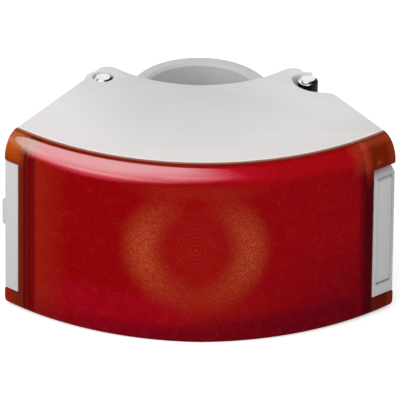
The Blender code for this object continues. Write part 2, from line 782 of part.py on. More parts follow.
def make_lock_bolt():
    top = BODY_HEIGHT
    seat = BOSS_HIGH + FIT
    tip = LOWER_BOSS_LOW + PLATE
    profile = [
        *stud_crown(top),
        (STUD_RADIUS, seat),
        (BOLT_RADIUS, seat),
        (BOLT_RADIUS, WASHER_LOW + WASHER + FIT),
        (WASHER_GROOVE, WASHER_LOW + WASHER + FIT),
        (WASHER_GROOVE, WASHER_LOW - FIT),
        (BOLT_RADIUS, WASHER_LOW - FIT),
        (BOLT_RADIUS, tip + PIN_EDGE),
        (BOLT_RADIUS - PIN_EDGE, tip),
        (0, tip),
    ]
    bolt = turned("lock_bolt", profile)
    bolt.location = (LOCK_X, EAR_Y, 0)
    return finish_part(bolt, "chrome")


def make_lock_insert():
    high = LOWER_BOSS_HIGH
    low = high - INSERT_LENGTH + FIT
    bore = BOLT_RADIUS + TRAVEL_CLEARANCE
    profile = [(INSERT_RADIUS, high), (INSERT_RADIUS, low), (bore, low), (bore, high)]
    insert = turned("lock_insert", profile, ring=True)
    insert.location = (LOCK_X, EAR_Y, 0)
    return finish_part(insert, "brass")


# Rear door: curved panel, knuckle on the pin, block for the lock tongue and the ribbed post collar
def make_rear_door():
    left = EAR_X - KNUCKLE_RADIUS / 2
    inner_face = DOOR_RADIUS + DOOR_WALL
    mid_wall = DOOR_RADIUS + DOOR_WALL / 2
    door = rear_band("rear_door", DOOR_RADIUS, inner_face, DOOR_HALF_WIDTH, left, DOOR_LOW, DOOR_HIGH)
    block_x = DOOR_HALF_WIDTH - LOCK_BLOCK
    collar_profile = [
        (0, COLLAR_TOP),
        (COLLAR_RADIUS - COLLAR_CHAMFER, COLLAR_TOP),
        (COLLAR_RADIUS, COLLAR_TOP - COLLAR_CHAMFER),
        (COLLAR_RADIUS, COLLAR_LOW + COLLAR_CHAMFER),
        (COLLAR_RADIUS - COLLAR_CHAMFER, COLLAR_LOW),
        (0, COLLAR_LOW),
    ]
    collar = turned("collar_body", collar_profile, COLLAR_STEPS)
    collar.location.y = COLLAR_Y
    neck_front = REAR_Y - mid_wall
    join(
        door,
        upright_hole("knuckle", -EAR_X, KNUCKLE_RADIUS, DOOR_LOW, DOOR_HIGH),
        box(
            "lock_block",
            (block_x, rear_edge(mid_wall, block_x), TONGUE_LOW - LOCK_BLOCK_MARGIN),
            (DOOR_HALF_WIDTH, EAR_Y + TONGUE_BACK, TONGUE_HIGH + LOCK_BLOCK_MARGIN),
        ),
        box(
            "collar_neck",
            (-COLLAR_NECK / 2, neck_front, COLLAR_LOW + COLLAR_RIB),
            (COLLAR_NECK / 2, COLLAR_Y - COLLAR_BORE_RADIUS, COLLAR_TOP - COLLAR_RIB),
        ),
        *collar_ribs(mid_wall),
        collar,
    )
    cut(
        door,
        collar_bore(),
        upright_hole("knuckle_bore", -EAR_X, PIN_RADIUS + FIT, DOOR_LOW - PLATE, DOOR_HIGH + PLATE),
        tongue_screw_hole("block_screw_hole"),
    )
    for name, level in set_screw_levels():
        hole = rod(name + "_hole", SET_SCREW_RADIUS + FIT, 0, COLLAR_RADIUS + COLLAR_WALL, SMALL_STEPS)
        cut(door, aim(hole, (0, COLLAR_Y, level), (0, 1, 0)))
    return finish_part(door, "grey")


# Lock tongue: block screwed to the door's free edge, under the bolt's washer
def tongue_screw_spot():
    y = EAR_Y + (TONGUE_BACK - TONGUE_FRONT) / 2
    return TONGUE_TIP - SCREW_HEAD - FIT, y, (TONGUE_HIGH + TONGUE_LOW) / 2


def tongue_screw_hole(name):
    hole = rod(name, SCREW_RADIUS + FIT, -SCREW_HEAD, SCREW_LENGTH + FIT, SMALL_STEPS)
    return aim(hole, tongue_screw_spot(), (-1, 0, 0))


def make_lock_tongue():
    left = DOOR_HALF_WIDTH + FIT
    front = EAR_Y - TONGUE_FRONT
    back = EAR_Y + TONGUE_BACK
    outline = [
        (left, front),
        (TONGUE_TIP - TONGUE_CORNER, front),
        (TONGUE_TIP, front + TONGUE_CORNER),
        (TONGUE_TIP, back - TONGUE_CORNER),
        (TONGUE_TIP - TONGUE_CORNER, back),
        (left, back),
    ]
    tongue = prism("lock_tongue", outline, TONGUE_LOW, TONGUE_HIGH)
    head_hole = rod("tongue_head_hole", SCREW_HEAD_RADIUS + FIT, -2 * SCREW_HEAD, FIT, SMALL_STEPS)
    cut(tongue, tongue_screw_hole("tongue_hole"), aim(head_hole, tongue_screw_spot(), (-1, 0, 0)))
    screw = small_screw("tongue_screw", SCREW_LENGTH, tongue_screw_spot(), (-1, 0, 0))
    return [finish_part(tongue, "steel"), screw]


# Level ribs that tie the collar to the door panel
def collar_ribs(mid_wall):
    half = COLLAR_RADIUS - COLLAR_CHAMFER
    outline = rear_arc(mid_wall, half) + [(-half, COLLAR_Y), (half, COLLAR_Y)]
    spare = COLLAR_HEIGHT - 2 * COLLAR_CHAMFER - COLLAR_RIB
    ribs = []
    for number in range(COLLAR_RIBS):
        low = COLLAR_LOW + COLLAR_CHAMFER + spare * (number + 0.5) / COLLAR_RIBS
        ribs.append(prism(f"collar_rib_{number}", outline, low, low + COLLAR_RIB))
    return ribs


def collar_bore():
    wide = COLLAR_BORE_RADIUS + COLLAR_CHAMFER + PLATE
    profile = [
        (0, COLLAR_TOP + PLATE),
        (wide, COLLAR_TOP + PLATE),
        (COLLAR_BORE_RADIUS, COLLAR_TOP - COLLAR_CHAMFER),
        (COLLAR_BORE_RADIUS, COLLAR_LOW + COLLAR_CHAMFER),
        (wide, COLLAR_LOW - PLATE),
        (0, COLLAR_LOW - PLATE),
    ]
    bore = turned("collar_bore", profile, COLLAR_STEPS)
    bore.location.y = COLLAR_Y
    return bore


def set_screw_levels():
    return [
        ("collar_screw_upper", COLLAR_TOP - SET_SCREW_INSET),
        ("collar_screw_lower", COLLAR_LOW + SET_SCREW_INSET),
    ]


# Headless screws in the back of the collar, with a hexagon socket
def make_collar_screws():
    inner = COLLAR_BORE_RADIUS + FIT
    outer = COLLAR_RADIUS - FIT
    screws = []
    for name, level in set_screw_levels():
        grub = rod(name, SET_SCREW_RADIUS, inner, outer, SMALL_STEPS)
        socket = rod(name + "_socket", SET_SCREW_RADIUS / 2, outer - SET_SCREW_RADIUS, outer + FIT, 6)
        aim(socket, (0, COLLAR_Y, level), (0, 1, 0))
        cut(aim(grub, (0, COLLAR_Y, level), (0, 1, 0)), socket)
        screws.append(finish_part(grub, "steel"))
    return screws


def make_door_seal():
    half = DOOR_WINDOW + SEAL_RIM
    low = REAR_MARGIN
    high = BODY_HEIGHT - REAR_MARGIN
    outer = SEAL_RADIUS + SEAL
    seal = rear_band("door_seal", SEAL_RADIUS, outer, half, half, low - SEAL_RIM, high + SEAL_RIM)
    opening = rear_band(
        "seal_opening", SEAL_RADIUS - SEAL, outer + SEAL, DOOR_WINDOW, DOOR_WINDOW, low, high
    )
    return finish_part(cut(seal, opening), "rubber")


# Panel behind the front window that carries the reflector
def panel_screw_places():
    angle = (WINDOW_HALF_ANGLE + PANEL_HALF_ANGLE) / 2
    levels = (PANEL_MARGIN + SCREW_INSET, BODY_HEIGHT - PANEL_MARGIN - SCREW_INSET)
    return [(side * angle, level) for side in (-1, 1) for level in levels]


def make_reflector_panel():
    high = BODY_HEIGHT - PANEL_MARGIN
    panel = front_band(
        "reflector_panel", PANEL_RADIUS, PANEL_RADIUS - PANEL, PANEL_HALF_ANGLE, PANEL_MARGIN, high
    )
    mouth_radius = REFLECTOR_RADIUS + REFLECTOR_WALL + FIT
    mouth = rod("reflector_mouth", mouth_radius, -PLATE_DEPTH, PLATE_DEPTH, COLLAR_STEPS)
    cut(panel, aim(mouth, (0, RIM_Y, OPTIC_HEIGHT), FORWARD))
    for number, (angle, level) in enumerate(panel_screw_places()):
        hole = rod(f"panel_hole_{number}", SCREW_RADIUS + FIT, -PANEL, PANEL, SMALL_STEPS)
        middle = polar(PANEL_RADIUS - PANEL / 2, angle)
        cut(panel, aim(hole, (*middle, level), outward(angle)))
    return finish_part(panel, "dark")


# Screw with a domed head, its head seat at the local origin and its tip along +Z
def small_screw(name, length, point, direction):
    tip = SCREW_RADIUS / 2
    profile = [
        (0, length),
        (SCREW_RADIUS - tip, length),
        (SCREW_RADIUS, length - tip),
        (SCREW_RADIUS, 0),
        (SCREW_HEAD_RADIUS, 0),
        (SCREW_HEAD_RADIUS, -SCREW_HEAD / 2),
        (SCREW_HEAD_RADIUS - tip, -SCREW_HEAD),
        (0, -SCREW_HEAD),
    ]
    return finish_part(aim(turned(name, profile, SMALL_STEPS), point, direction), "steel")


def make_panel_screws():
    seat = PANEL_RADIUS - PANEL - FIT
    for number, (angle, level) in enumerate(panel_screw_places(), 1):
        small_screw(f"panel_screw_{number}", PANEL_SCREW_LENGTH, (*polar(seat, angle), level), outward(angle))


# Parabola from the throat to the rim, height 0 at the rim
def bowl_radius(height):
    spread = REFLECTOR_RADIUS**2 - REFLECTOR_THROAT**2
    return sqrt(REFLECTOR_THROAT**2 + spread * (1 + height / REFLECTOR_DEPTH))


def make_reflector():
    rim = REFLECTOR_RADIUS + REFLECTOR_WALL
    flange_low = -REFLECTOR_RIM_LIFT - FLANGE_THICKNESS
    heights = [flange_low - (REFLECTOR_DEPTH + flange_low) * i / 4 for i in range(5)]
    outside = [(bowl_radius(height) + REFLECTOR_WALL, height) for height in heights]
    end = -REFLECTOR_DEPTH - REFLECTOR_WALL
    depths = [REFLECTOR_DEPTH * (i / 8 - 1) for i in range(9)]
    inside = [(bowl_radius(height), height) for height in depths]
    profile = [
        (rim, 0),
        (rim, -REFLECTOR_RIM_LIFT),
        (rim + REFLECTOR_FLANGE, -REFLECTOR_RIM_LIFT),
        (rim + REFLECTOR_FLANGE, flange_low),
        *outside,
        (REFLECTOR_THROAT + REFLECTOR_WALL, end),
        (REFLECTOR_THROAT, end),
        *inside,
    ]
    bowl = turned("reflector", profile, REFLECTOR_STEPS, ring=True)
    return finish_part(aim(bowl, (0, RIM_Y, OPTIC_HEIGHT), FORWARD), "mirror")


# Domed optic over the emitter, standing on the LED board in the reflector's throat
def make_led_optic():
    recess = EMITTER_SIDE * sqrt(0.5) + FIT
    roof = EMITTER_HEIGHT + 2 * FIT
    dome = [
        (OPTIC_RADIUS * cos(turn), roof + OPTIC_RADIUS * sin(turn))
        for turn in [radians(15 * i) for i in range(6, -1, -1)]
    ]
    profile = [*dome, (OPTIC_RADIUS, FIT), (recess, FIT), (recess, roof), (0, roof)]
    optic = turned("led_optic", profile)
    return finish_part(aim(optic, (0, LED_Y, OPTIC_HEIGHT), FORWARD), "clear")


def make_led_unit():
    half = EMITTER_SIDE / 2
    emitter = box(
        "led_emitter",
        (-half, LED_Y - FIT - EMITTER_HEIGHT, OPTIC_HEIGHT - half),
        (half, LED_Y - FIT, OPTIC_HEIGHT + half),
    )
    finish_part(emitter, "emitter")
    half = LED_BOARD_SIDE / 2
    board = box("led_board", (-half, LED_Y, OPTIC_HEIGHT - half), (half, LED_Y + BOARD, OPTIC_HEIGHT + half))
    finish_part(board, "board")
    sink = prism("heat_sink", sink_outline(), OPTIC_HEIGHT - half, OPTIC_HEIGHT + half)
    finish_part(sink, "alloy")


# Comb outline: a base against the board and upright fins behind it
def sink_outline():
    half = LED_BOARD_SIDE / 2
    root = SINK_Y + SINK_BASE
    tip = root + SINK_FIN
    pitch = (LED_BOARD_SIDE - SINK_FIN_WIDTH) / (SINK_FINS - 1)
    outline = [(-half, SINK_Y), (half, SINK_Y)]
    for number in reversed(range(SINK_FINS)):
        left = -half + number * pitch
        right = left + SINK_FIN_WIDTH
        outline += [(right, root), (right, tip), (left, tip), (left, root)]
    return [point for point in outline if point not in ((half, root), (-half, root))]


# Tray with a cradle for two upright cells, open towards the door
def make_battery_tray():
    low = PLATE + FIT
    tray = box(
        "battery_tray",
        (-TRAY_HALF_WIDTH, TRAY_Y, low),
        (TRAY_HALF_WIDTH, CELL_Y + CELL_RADIUS, ROOF_LOW + TRAY_FLOOR),
    )
    mouth = box(
        "tray_mouth",
        (-2 * TRAY_HALF_WIDTH, TRAY_Y + TRAY_CRADLE, FLOOR_TOP),
        (2 * TRAY_HALF_WIDTH, CELL_Y + 2 * CELL_RADIUS, ROOF_LOW),
    )
    cut(tray, mouth)
    for side in (-1, 1):
        trough = rod(f"trough_{side}", CELL_RADIUS + CELL_GAP, FLOOR_TOP, ROOF_LOW, COLLAR_STEPS)
        trough.location = (side * CELL_SPACING / 2, CELL_Y, 0)
        cut(tray, trough)
    for number, (y, level) in enumerate(board_screw_places()):
        hole = rod(f"tray_screw_hole_{number}", SCREW_RADIUS + FIT, 0, SCREW_LENGTH + FIT, SMALL_STEPS)
        cut(tray, aim(hole, (TRAY_HALF_WIDTH + FIT, y, level), (-1, 0, 0)))
    return finish_part(tray, "dark")


def make_cells():
    nib_low = CELL_LOW + CELL_LENGTH
    edge = CELL_NIB / 2
    profile = [
        (0, nib_low + CELL_NIB),
        (CELL_NIB_RADIUS, nib_low + CELL_NIB),
        (CELL_NIB_RADIUS, nib_low),
        (CELL_RADIUS - edge, nib_low),
        (CELL_RADIUS, nib_low - edge),
        (CELL_RADIUS, CELL_LOW + edge),
        (CELL_RADIUS - edge, CELL_LOW),
        (0, CELL_LOW),
    ]
    for name, side in (("battery_left", -1), ("battery_right", 1)):
        cell = turned(name, profile)
        cell.location = (side * CELL_SPACING / 2, CELL_Y, 0)
        finish_part(cell, "cell")


# Conical contact spring under each cell
def make_contact_springs():
    low = FLOOR_TOP + FIT + SPRING_WIRE
    rise = SPRING_HEIGHT - 2 * SPRING_WIRE
    steps = SPRING_TURNS * 10
    for name, side in (("contact_spring_left", -1), ("contact_spring_right", 1)):
        curve = bpy.data.curves.new(name, 'CURVE')
        curve.dimensions = '3D'
        curve.bevel_depth = SPRING_WIRE
        curve.bevel_resolution = 1
        curve.use_fill_caps = True
        spline = curve.splines.new('POLY')
        spline.points.add(steps)
        for i, point in enumerate(spline.points):
            share = i / steps
            radius = SPRING_RADIUS + (SPRING_TIP_RADIUS - SPRING_RADIUS) * share
            turn = 2 * pi * SPRING_TURNS * share
            point.co = (radius * cos(turn), radius * sin(turn), rise * share, 1)
        spring = curve_to_object(name, curve)
        spring.location = (side * CELL_SPACING / 2, CELL_Y, low)
        finish_part(spring, "steel")


def make_contact_strip():
    half = (CELL_SPACING + STRIP_WIDTH) / 2
    low = ROOF_LOW - FIT - STRIP
    strip = box(
        "contact_strip",
        (-half, CELL_Y - STRIP_WIDTH / 2, low),
        (half, CELL_Y + STRIP_WIDTH / 2, low + STRIP),
    )
    return finish_part(bevel(strip, STRIP / 3, 1), "brass")


# Control board on the tray's right end, with its parts facing out
def board_screw_places():
    y = TRAY_Y + SCREW_INSET / 2
    low = PLATE + CONTROL_RISE
    return [(y, low + SCREW_INSET), (y, low + CONTROL_HEIGHT - SCREW_INSET)]


def make_control_unit():
    low = PLATE + CONTROL_RISE
    inner = TRAY_HALF_WIDTH + FIT
    outer = inner + BOARD
    board = box("control_board", (inner, TRAY_Y, low), (outer, TRAY_Y + CONTROL_LENGTH, low + CONTROL_HEIGHT))
    for number, (y, level) in enumerate(board_screw_places()):
        hole = rod(f"board_hole_{number}", SCREW_RADIUS + FIT, -BOARD, 2 * BOARD, SMALL_STEPS)
        cut(board, aim(hole, (inner, y, level), (1, 0, 0)))
    finish_part(board, "board")
    for number, (y, level) in enumerate(board_screw_places(), 1):
        small_screw(f"board_screw_{number}", SCREW_LENGTH, (outer + FIT, y, level), (-1, 0, 0))
    middle_y = TRAY_Y + CONTROL_LENGTH * 0.6
    middle_z = low + CONTROL_HEIGHT / 2
    seat = outer + FIT
    chip = box(
        "driver_chip",
        (seat, middle_y - CHIP_SIDE / 2, middle_z),
        (seat + CHIP_HEIGHT, middle_y + CHIP_SIDE / 2, middle_z + CHIP_SIDE),
    )
    finish_part(chip, "black")
    rim = CAPACITOR_RADIUS / 5
    profile = [
        (0, CAPACITOR_HEIGHT),
        (CAPACITOR_RADIUS - rim, CAPACITOR_HEIGHT),
        (CAPACITOR_RADIUS, CAPACITOR_HEIGHT - rim),
        (CAPACITOR_RADIUS, 0),
        (0, 0),
    ]
    capacitor = turned("flash_capacitor", profile, SMALL_STEPS)
    aim(capacitor, (seat, middle_y, middle_z - 2 * CAPACITOR_RADIUS), (1, 0, 0))
    finish_part(capacitor, "cell")


# Grey cheek that fills a lens notch
def cheek_block(name, inner_angle, side):
    near = inner_angle + FIT / PLATE_RADIUS
    far = LENS_HALF_ANGLE
    corners = [(GASKET_RADIUS, near), (LENS_RADIUS, near), (LENS_RADIUS, far), (GASKET_RADIUS, far)]
    outline = [polar(radius, angle) for radius, angle in corners]
    if side < 0:
        outline = mirrored(outline)
    return prism(name, outline, NOTCH_RISE + FIT, NOTCH_HIGH - FIT)


# Box at the lens end: x runs out along the end's tangent, y about a radius, z about a level
def end_box(name, radius, near, far, width, level, height):
    made = box(name, (near, -width / 2, -height / 2), (far, width / 2, height / 2))
    spot = Vector((*polar(radius, -LENS_HALF_ANGLE), level))
    turn = Matrix.Rotation(pi - LENS_HALF_ANGLE, 4, 'Z')
    made.matrix_world = Matrix.Translation(spot) @ turn @ Matrix.Translation(((near + far) / 2, 0, 0))
    return made


def make_left_cheek():
    cheek = cheek_block("left_cheek", LEFT_NOTCH_ANGLE, -1)
    bevel(cheek, CHEEK_EDGE)
    room = 2 * TRAVEL_CLEARANCE
    pocket = end_box(
        "button_pocket",
        BUTTON_RADIUS,
        -POCKET_DEPTH,
        BUTTON_PROUD + CHEEK_EDGE,
        BUTTON_WIDTH + room,
        BUTTON_LEVEL,
        BUTTON_HEIGHT + room,
    )
    return finish_part(cut(cheek, pocket), "grey")


def make_switch():
    body = end_box(
        "switch_body",
        BUTTON_RADIUS,
        FIT - POCKET_DEPTH,
        FIT - POCKET_DEPTH + SWITCH_DEPTH,
        BUTTON_WIDTH - SWITCH_MARGIN,
        BUTTON_LEVEL,
        BUTTON_WIDTH + SWITCH_MARGIN,
    )
    finish_part(body, "black")
    button = end_box(
        "switch_button",
        BUTTON_RADIUS,
        -BUTTON_DEPTH,
        BUTTON_PROUD,
        BUTTON_WIDTH,
        BUTTON_LEVEL,
        BUTTON_HEIGHT,
    )
    finish_part(bevel(button, CHEEK_EDGE), "grey")


# Solid on a side profile of (depth, height) points, run sideways across the right cheek
def cheek_profile(name, outline, left, right):
    made = prism(name, outline, left, right)
    slide = Matrix.Translation((0, 0, (left + right) / 2))
    inward = -outward(LATCH_ANGLE)
    sideways = along(LATCH_ANGLE)
    frame = Matrix((inward, (0, 0, 1), sideways)).transposed().to_4x4()
    made.matrix_world = Matrix.Translation((*polar(LENS_RADIUS, LATCH_ANGLE), 0)) @ frame @ slide
    return made


def latch_pin_rod(name, radius, spare):
    pin = rod(name, radius, LATCH_LEFT - spare, LATCH_RIGHT + spare, SMALL_STEPS)
    spot = polar(LENS_RADIUS - LATCH_PIN_DEPTH, LATCH_ANGLE)
    return aim(pin, (*spot, LATCH_PIN_LEVEL), along(LATCH_ANGLE))


def make_right_cheek():
    cheek = cheek_block("right_cheek", RIGHT_NOTCH_ANGLE, 1)
    bevel(cheek, CHEEK_EDGE)
    high = NOTCH_HIGH
    facet = [(-PLATE, LATCH_HIGH), (-PLATE, high + PLATE), (CHEEK_FACET, high + PLATE), (CHEEK_FACET, high)]
    facet.append((0, LATCH_HIGH))
    recess = [
        (-PLATE, LATCH_LOW),
        (LATCH_DEPTH, LATCH_LOW),
        (LATCH_DEPTH, LATCH_HIGH),
        (-PLATE, LATCH_HIGH),
    ]
    cut(
        cheek,
        cheek_profile("cheek_facet", facet, -CHEEK_WIDTH, CHEEK_WIDTH),
        cheek_profile("latch_recess", recess, LATCH_LEFT, LATCH_RIGHT),
        latch_pin_rod("latch_pin_hole", LATCH_PIN_RADIUS + FIT, LATCH_PIN_GRIP + FIT),
    )
    return finish_part(cheek, "grey")


# Latch lever with a round foot on its pin and a lipped top
def make_lens_latch():
    front = LATCH_FACE
    back = LATCH_DEPTH - FIT
    high = LATCH_HIGH - FIT
    foot = arc((LATCH_PIN_DEPTH, LATCH_PIN_LEVEL), LATCH_FOOT, pi, 2 * pi, 10)
    lip = LATCH_FOOT
    outline = [*foot, (back, high), (front + lip, high), (front, high - lip)]
    latch = cheek_profile("lens_latch", outline, LATCH_LEFT + FIT, LATCH_RIGHT - FIT)
    cut(latch, latch_pin_rod("latch_bore", LATCH_PIN_RADIUS + FIT, PLATE))
    return finish_part(latch, "grey")


def make_latch_pin():
    return finish_part(latch_pin_rod("latch_pin", LATCH_PIN_RADIUS, LATCH_PIN_GRIP), "steel")


# Empty on a joint's axis that carries the pieces which move about it
def hang(name, spot, pieces):
    axis = bpy.data.objects.new(name, None)
    PARTS.objects.link(axis)
    axis.location = spot
    for piece in pieces:
        piece.parent = axis
        piece.matrix_parent_inverse = Matrix.Translation(spot).inverted()


def build():
    make_housing()
    make_lens()
    make_lens_gasket()
    make_hinge_pin()
    make_hinge_clip()
    make_lock_insert()
    hang("bolt_axis", (LOCK_X, EAR_Y, 0), [make_lock_bolt(), make_lock_washer()])
    door = [make_rear_door(), make_door_seal(), *make_collar_screws(), *make_lock_tongue()]
    hang("door_axis", (-EAR_X, EAR_Y, 0), door)
    make_reflector_panel()
    make_panel_screws()
    make_reflector()
    make_led_optic()
    make_led_unit()
    make_battery_tray()
    make_cells()
    make_contact_springs()
    make_contact_strip()
    make_control_unit()
    make_left_cheek()
    make_switch()
    make_right_cheek()
    make_latch_pin()
    latch_spot = (*polar(LENS_RADIUS - LATCH_PIN_DEPTH, LATCH_ANGLE), LATCH_PIN_LEVEL)
    hang("latch_axis", latch_spot, [make_lens_latch()])


clear_scene()
build()
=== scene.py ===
import json
from math import cos, pi, radians, sin

import bmesh
import bpy
from mathutils import Matrix, Vector


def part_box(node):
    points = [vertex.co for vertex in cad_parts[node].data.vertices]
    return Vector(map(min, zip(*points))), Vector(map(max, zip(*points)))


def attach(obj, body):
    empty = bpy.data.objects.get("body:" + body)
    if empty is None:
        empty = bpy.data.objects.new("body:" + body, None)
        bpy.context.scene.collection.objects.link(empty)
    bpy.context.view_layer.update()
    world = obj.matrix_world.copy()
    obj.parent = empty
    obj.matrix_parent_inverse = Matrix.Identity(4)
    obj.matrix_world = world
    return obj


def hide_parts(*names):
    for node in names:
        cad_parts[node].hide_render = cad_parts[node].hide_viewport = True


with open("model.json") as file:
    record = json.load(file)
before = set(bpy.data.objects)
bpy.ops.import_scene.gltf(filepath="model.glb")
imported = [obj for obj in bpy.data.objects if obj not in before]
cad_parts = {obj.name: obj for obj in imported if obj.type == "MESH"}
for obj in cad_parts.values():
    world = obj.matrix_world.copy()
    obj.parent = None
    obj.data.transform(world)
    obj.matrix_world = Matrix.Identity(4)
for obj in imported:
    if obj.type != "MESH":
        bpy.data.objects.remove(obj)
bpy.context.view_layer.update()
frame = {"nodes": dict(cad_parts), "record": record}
nodes = frame["nodes"]
scene = bpy.context.scene
scene.view_settings.view_transform = "Standard"
mm = 0.001
print("frame loaded:", len(nodes), "nodes")


# Shader maths written as expressions
class Value:
    def __init__(self, finish, socket):
        self.finish = finish
        self.socket = socket

    def calc(self, operation, first, second=0.0):
        return self.finish.node("Math", {"operation": operation}, {0: first, 1: second})

    def __add__(self, other):
        return self.calc("ADD", self, other)

    def __radd__(self, other):
        return self.calc("ADD", other, self)

    def __sub__(self, other):
        return self.calc("SUBTRACT", self, other)

    def __rsub__(self, other):
        return self.calc("SUBTRACT", other, self)

    def __mul__(self, other):
        return self.calc("MULTIPLY", self, other)

    def __rmul__(self, other):
        return self.calc("MULTIPLY", other, self)

    def __truediv__(self, other):
        return self.calc("DIVIDE", self, other)

    def __pow__(self, other):
        return self.calc("POWER", self, other)

    def __abs__(self):
        return self.calc("ABSOLUTE", self)


class Finish:
    def __init__(self, name, **fixed):
        self.material = bpy.data.materials.new(name)
        self.material.use_nodes = True
        self.tree = self.material.node_tree
        self.shader = self.tree.nodes["Principled BSDF"]
        for key, value in fixed.items():
            self.feed(key, value)

    # Any node, from its type, its settings and the values or links of its sockets
    def node(self, kind, settings=None, sockets=None, out=0):
        made = self.tree.nodes.new("ShaderNode" + kind)
        for key, value in (settings or {}).items():
            if key == "stops":
                setStops(made.color_ramp, value)
            else:
                setattr(made, key, value)
        for key, value in (sockets or {}).items():
            self.plug(made.inputs[key], value)
        return Value(self, made.outputs[out])

    def plug(self, socket, value):
        if isinstance(value, Value):
            self.tree.links.new(value.socket, socket)
        elif isinstance(value, tuple) and len(value) == 3 and socket.type == "RGBA":
            socket.default_value = (*value, 1)
        else:
            socket.default_value = value

    # A socket of the main shader, named in one word: BaseColor is Base Color
    def feed(self, key, value):
        words = "".join(" " + letter if letter.isupper() else letter for letter in key).strip()
        self.plug(self.shader.inputs[words.replace("I O R", "IOR")], value)

    def place(self):
        return self.node("TexCoord", out="Object")

    def axes(self):
        split = self.node("SeparateXYZ", sockets={0: self.place()}).socket.node
        return [Value(self, socket) for socket in split.outputs]

    def noise(self, size, detail=2.0, roughness=0.5, where=None):
        sockets = {"Vector": where or self.place(), "Scale": 1 / size}
        sockets.update({"Detail": detail, "Roughness": roughness})
        return self.node("TexNoise", {"noise_dimensions": "3D"}, sockets)

    def ramp(self, value, *stops):
        return self.node("ValToRGB", {"stops": stops}, {0: value})

    # 0 below low, 1 above high, with a soft step between; fall is the other way round
    def step(self, value, low, high):
        settings = {"interpolation_type": "SMOOTHSTEP", "clamp": True}
        return self.node("MapRange", settings, {0: value, 1: low, 2: high})

    def fall(self, value, low, high):
        return 1 - self.step(value, low, high)

    def mix(self, share, first, second):
        return self.node("Mix", {"data_type": "RGBA"}, {0: share, 6: first, 7: second}, out=2)

    def bump(self, height, strength, depth):
        sockets = {"Strength": strength, "Distance": depth, "Height": height}
        self.feed("Normal", self.node("Bump", None, sockets))


# Colours laid over each other, each by its share
class Coats:
    def __init__(self, finish, colour):
        self.finish = finish
        self.colour = colour

    def add(self, share, colour):
        self.colour = self.finish.mix(share, self.colour, colour)


def setStops(ramp, stops):
    while len(ramp.elements) < len(stops):
        ramp.elements.new(1.0)
    for element, (position, colour) in zip(ramp.elements, stops):
        element.position = position
        element.color = (*colour, 1)


# The lens is turned about an upright axis behind it; turns in degrees, wall levels in millimetres
lens = {
    "axisY": 65.75 * mm,
    "radius": 152 * mm,
    "halfTurn": 42.4,
    "leftNotch": 38.8,
    "rightNotch": 36.8,
    "notchLow": 10 * mm,
    "notchHigh": 87.1 * mm,
    "height": 102.5 * mm,
    "edgeRadius": 142.3 * mm,
    "plateRadius": 142 * mm,
    "rimRadius": 139.8 * mm,
    "shoulder": (10 * mm, 14 * mm),
    "tuck": (4.5 * mm, 5 * mm),
    "tuckMiddle": 0.2,
    "wall": 3 * mm,
    "underPlate": 99.2 * mm,
    "overFloor": 3.3 * mm,
    "tongue": 2.7 * mm,
    "innerRadius": 134.5 * mm,
    "wallLevels": (80, 70, 60, 50, 40, 30, 20, 12),
    "wedgeReach": (100 * mm, 170 * mm),
    "wedgeTurn": 55,
    "steps": 96,
    "shoulderSteps": 14,
    "tuckSteps": 8,
    "innerSteps": 10,
    "edge": 0.5 * mm,
}

greyMoulding = {"colour": (0.73, 0.73, 0.725), "shade": (0.715, 0.715, 0.71), "speck": (0.35, 0.33, 0.30)}
cheekGrey = {"colour": (0.55, 0.55, 0.548), "shade": (0.535, 0.535, 0.533)}
doorGrey = {"colour": (0.65, 0.65, 0.645), "shade": (0.63, 0.63, 0.625)}


# Satin injection moulding: fine grain, faint flow marks and a little dirt; for the housing also painted
# light on its plate
def makeGrey(name, colour, shade, platePaintedLight=False):
    grey = Finish(name, IOR=1.5)
    flow = grey.noise(35 * mm, 3)
    grain = grey.noise(0.35 * mm, 2)
    specks = grey.step(grey.noise(1.6 * mm, 4, 0.7), 0.66, 0.72)
    coats = Coats(grey, grey.mix(grey.step(flow, 0.35, 0.65), colour, shade))
    # Painted light on the housing's plate
    if platePaintedLight:
        paintPlateLight(coats)
    coats.add(specks * 0.12, greyMoulding["speck"])
    grey.feed("BaseColor", coats.colour)
    grey.feed("Roughness", 0.42 + flow * 0.1 + grain * 0.06)
    grey.bump(grain, 0.25, 0.03 * mm)
    return grey.material


# Painted light on the housing's plate: lighter sides, a lighter and warmer front and a painted highlight
# along the lip at the lens, as soft steps in millimetres
plateLight = {
    "pale": (0.86, 0.86, 0.855),
    "warm": (0.80, 0.76, 0.75),
    "lip": (0.93, 0.87, 0.86),
    "left": (-90, -25),
    "right": (-10, 85),
    "front": (108, 140),
    "edge": (140.6, 141.2),
}


# Painted light: lighter sides, a lighter and warmer front, and a painted highlight along the plate's edge at
# the lens
def paintPlateLight(coats):
    grey = coats.finish
    x, y = (axis / mm for axis in grey.axes()[:2])
    forward = lens["axisY"] / mm - y
    reach = (x * x + forward * forward) ** 0.5
    sides = grey.step(x, *plateLight["right"]) + grey.fall(x, *plateLight["left"])
    coats.add(sides * 0.95, plateLight["pale"])
    coats.add(grey.step(reach, *plateLight["front"]) * 0.9, plateLight["warm"])
    coats.add(grey.step(reach, *plateLight["edge"]), plateLight["lip"])


def makeMetal(name, colour, roughness, streak=0.0):
    metal = Finish(name, Metallic=1.0)
    cloud = metal.noise(6 * mm, 4)
    fine = metal.noise(0.5 * mm, 3)
    stretched = metal.node("Mapping", None, {"Vector": metal.place(), "Scale": (1, 1, 0.04)})
    brushed = metal.noise(0.25 * mm, 2, 0.6, stretched)
    dull = tuple(part * 0.72 for part in colour)
    metal.feed("BaseColor", metal.mix(metal.step(cloud, 0.4, 0.75), colour, dull))
    metal.feed("Roughness", roughness + fine * 0.1 + brushed * streak)
    metal.bump(brushed * streak + fine * 0.2, 0.15, 0.02 * mm)
    return metal.material


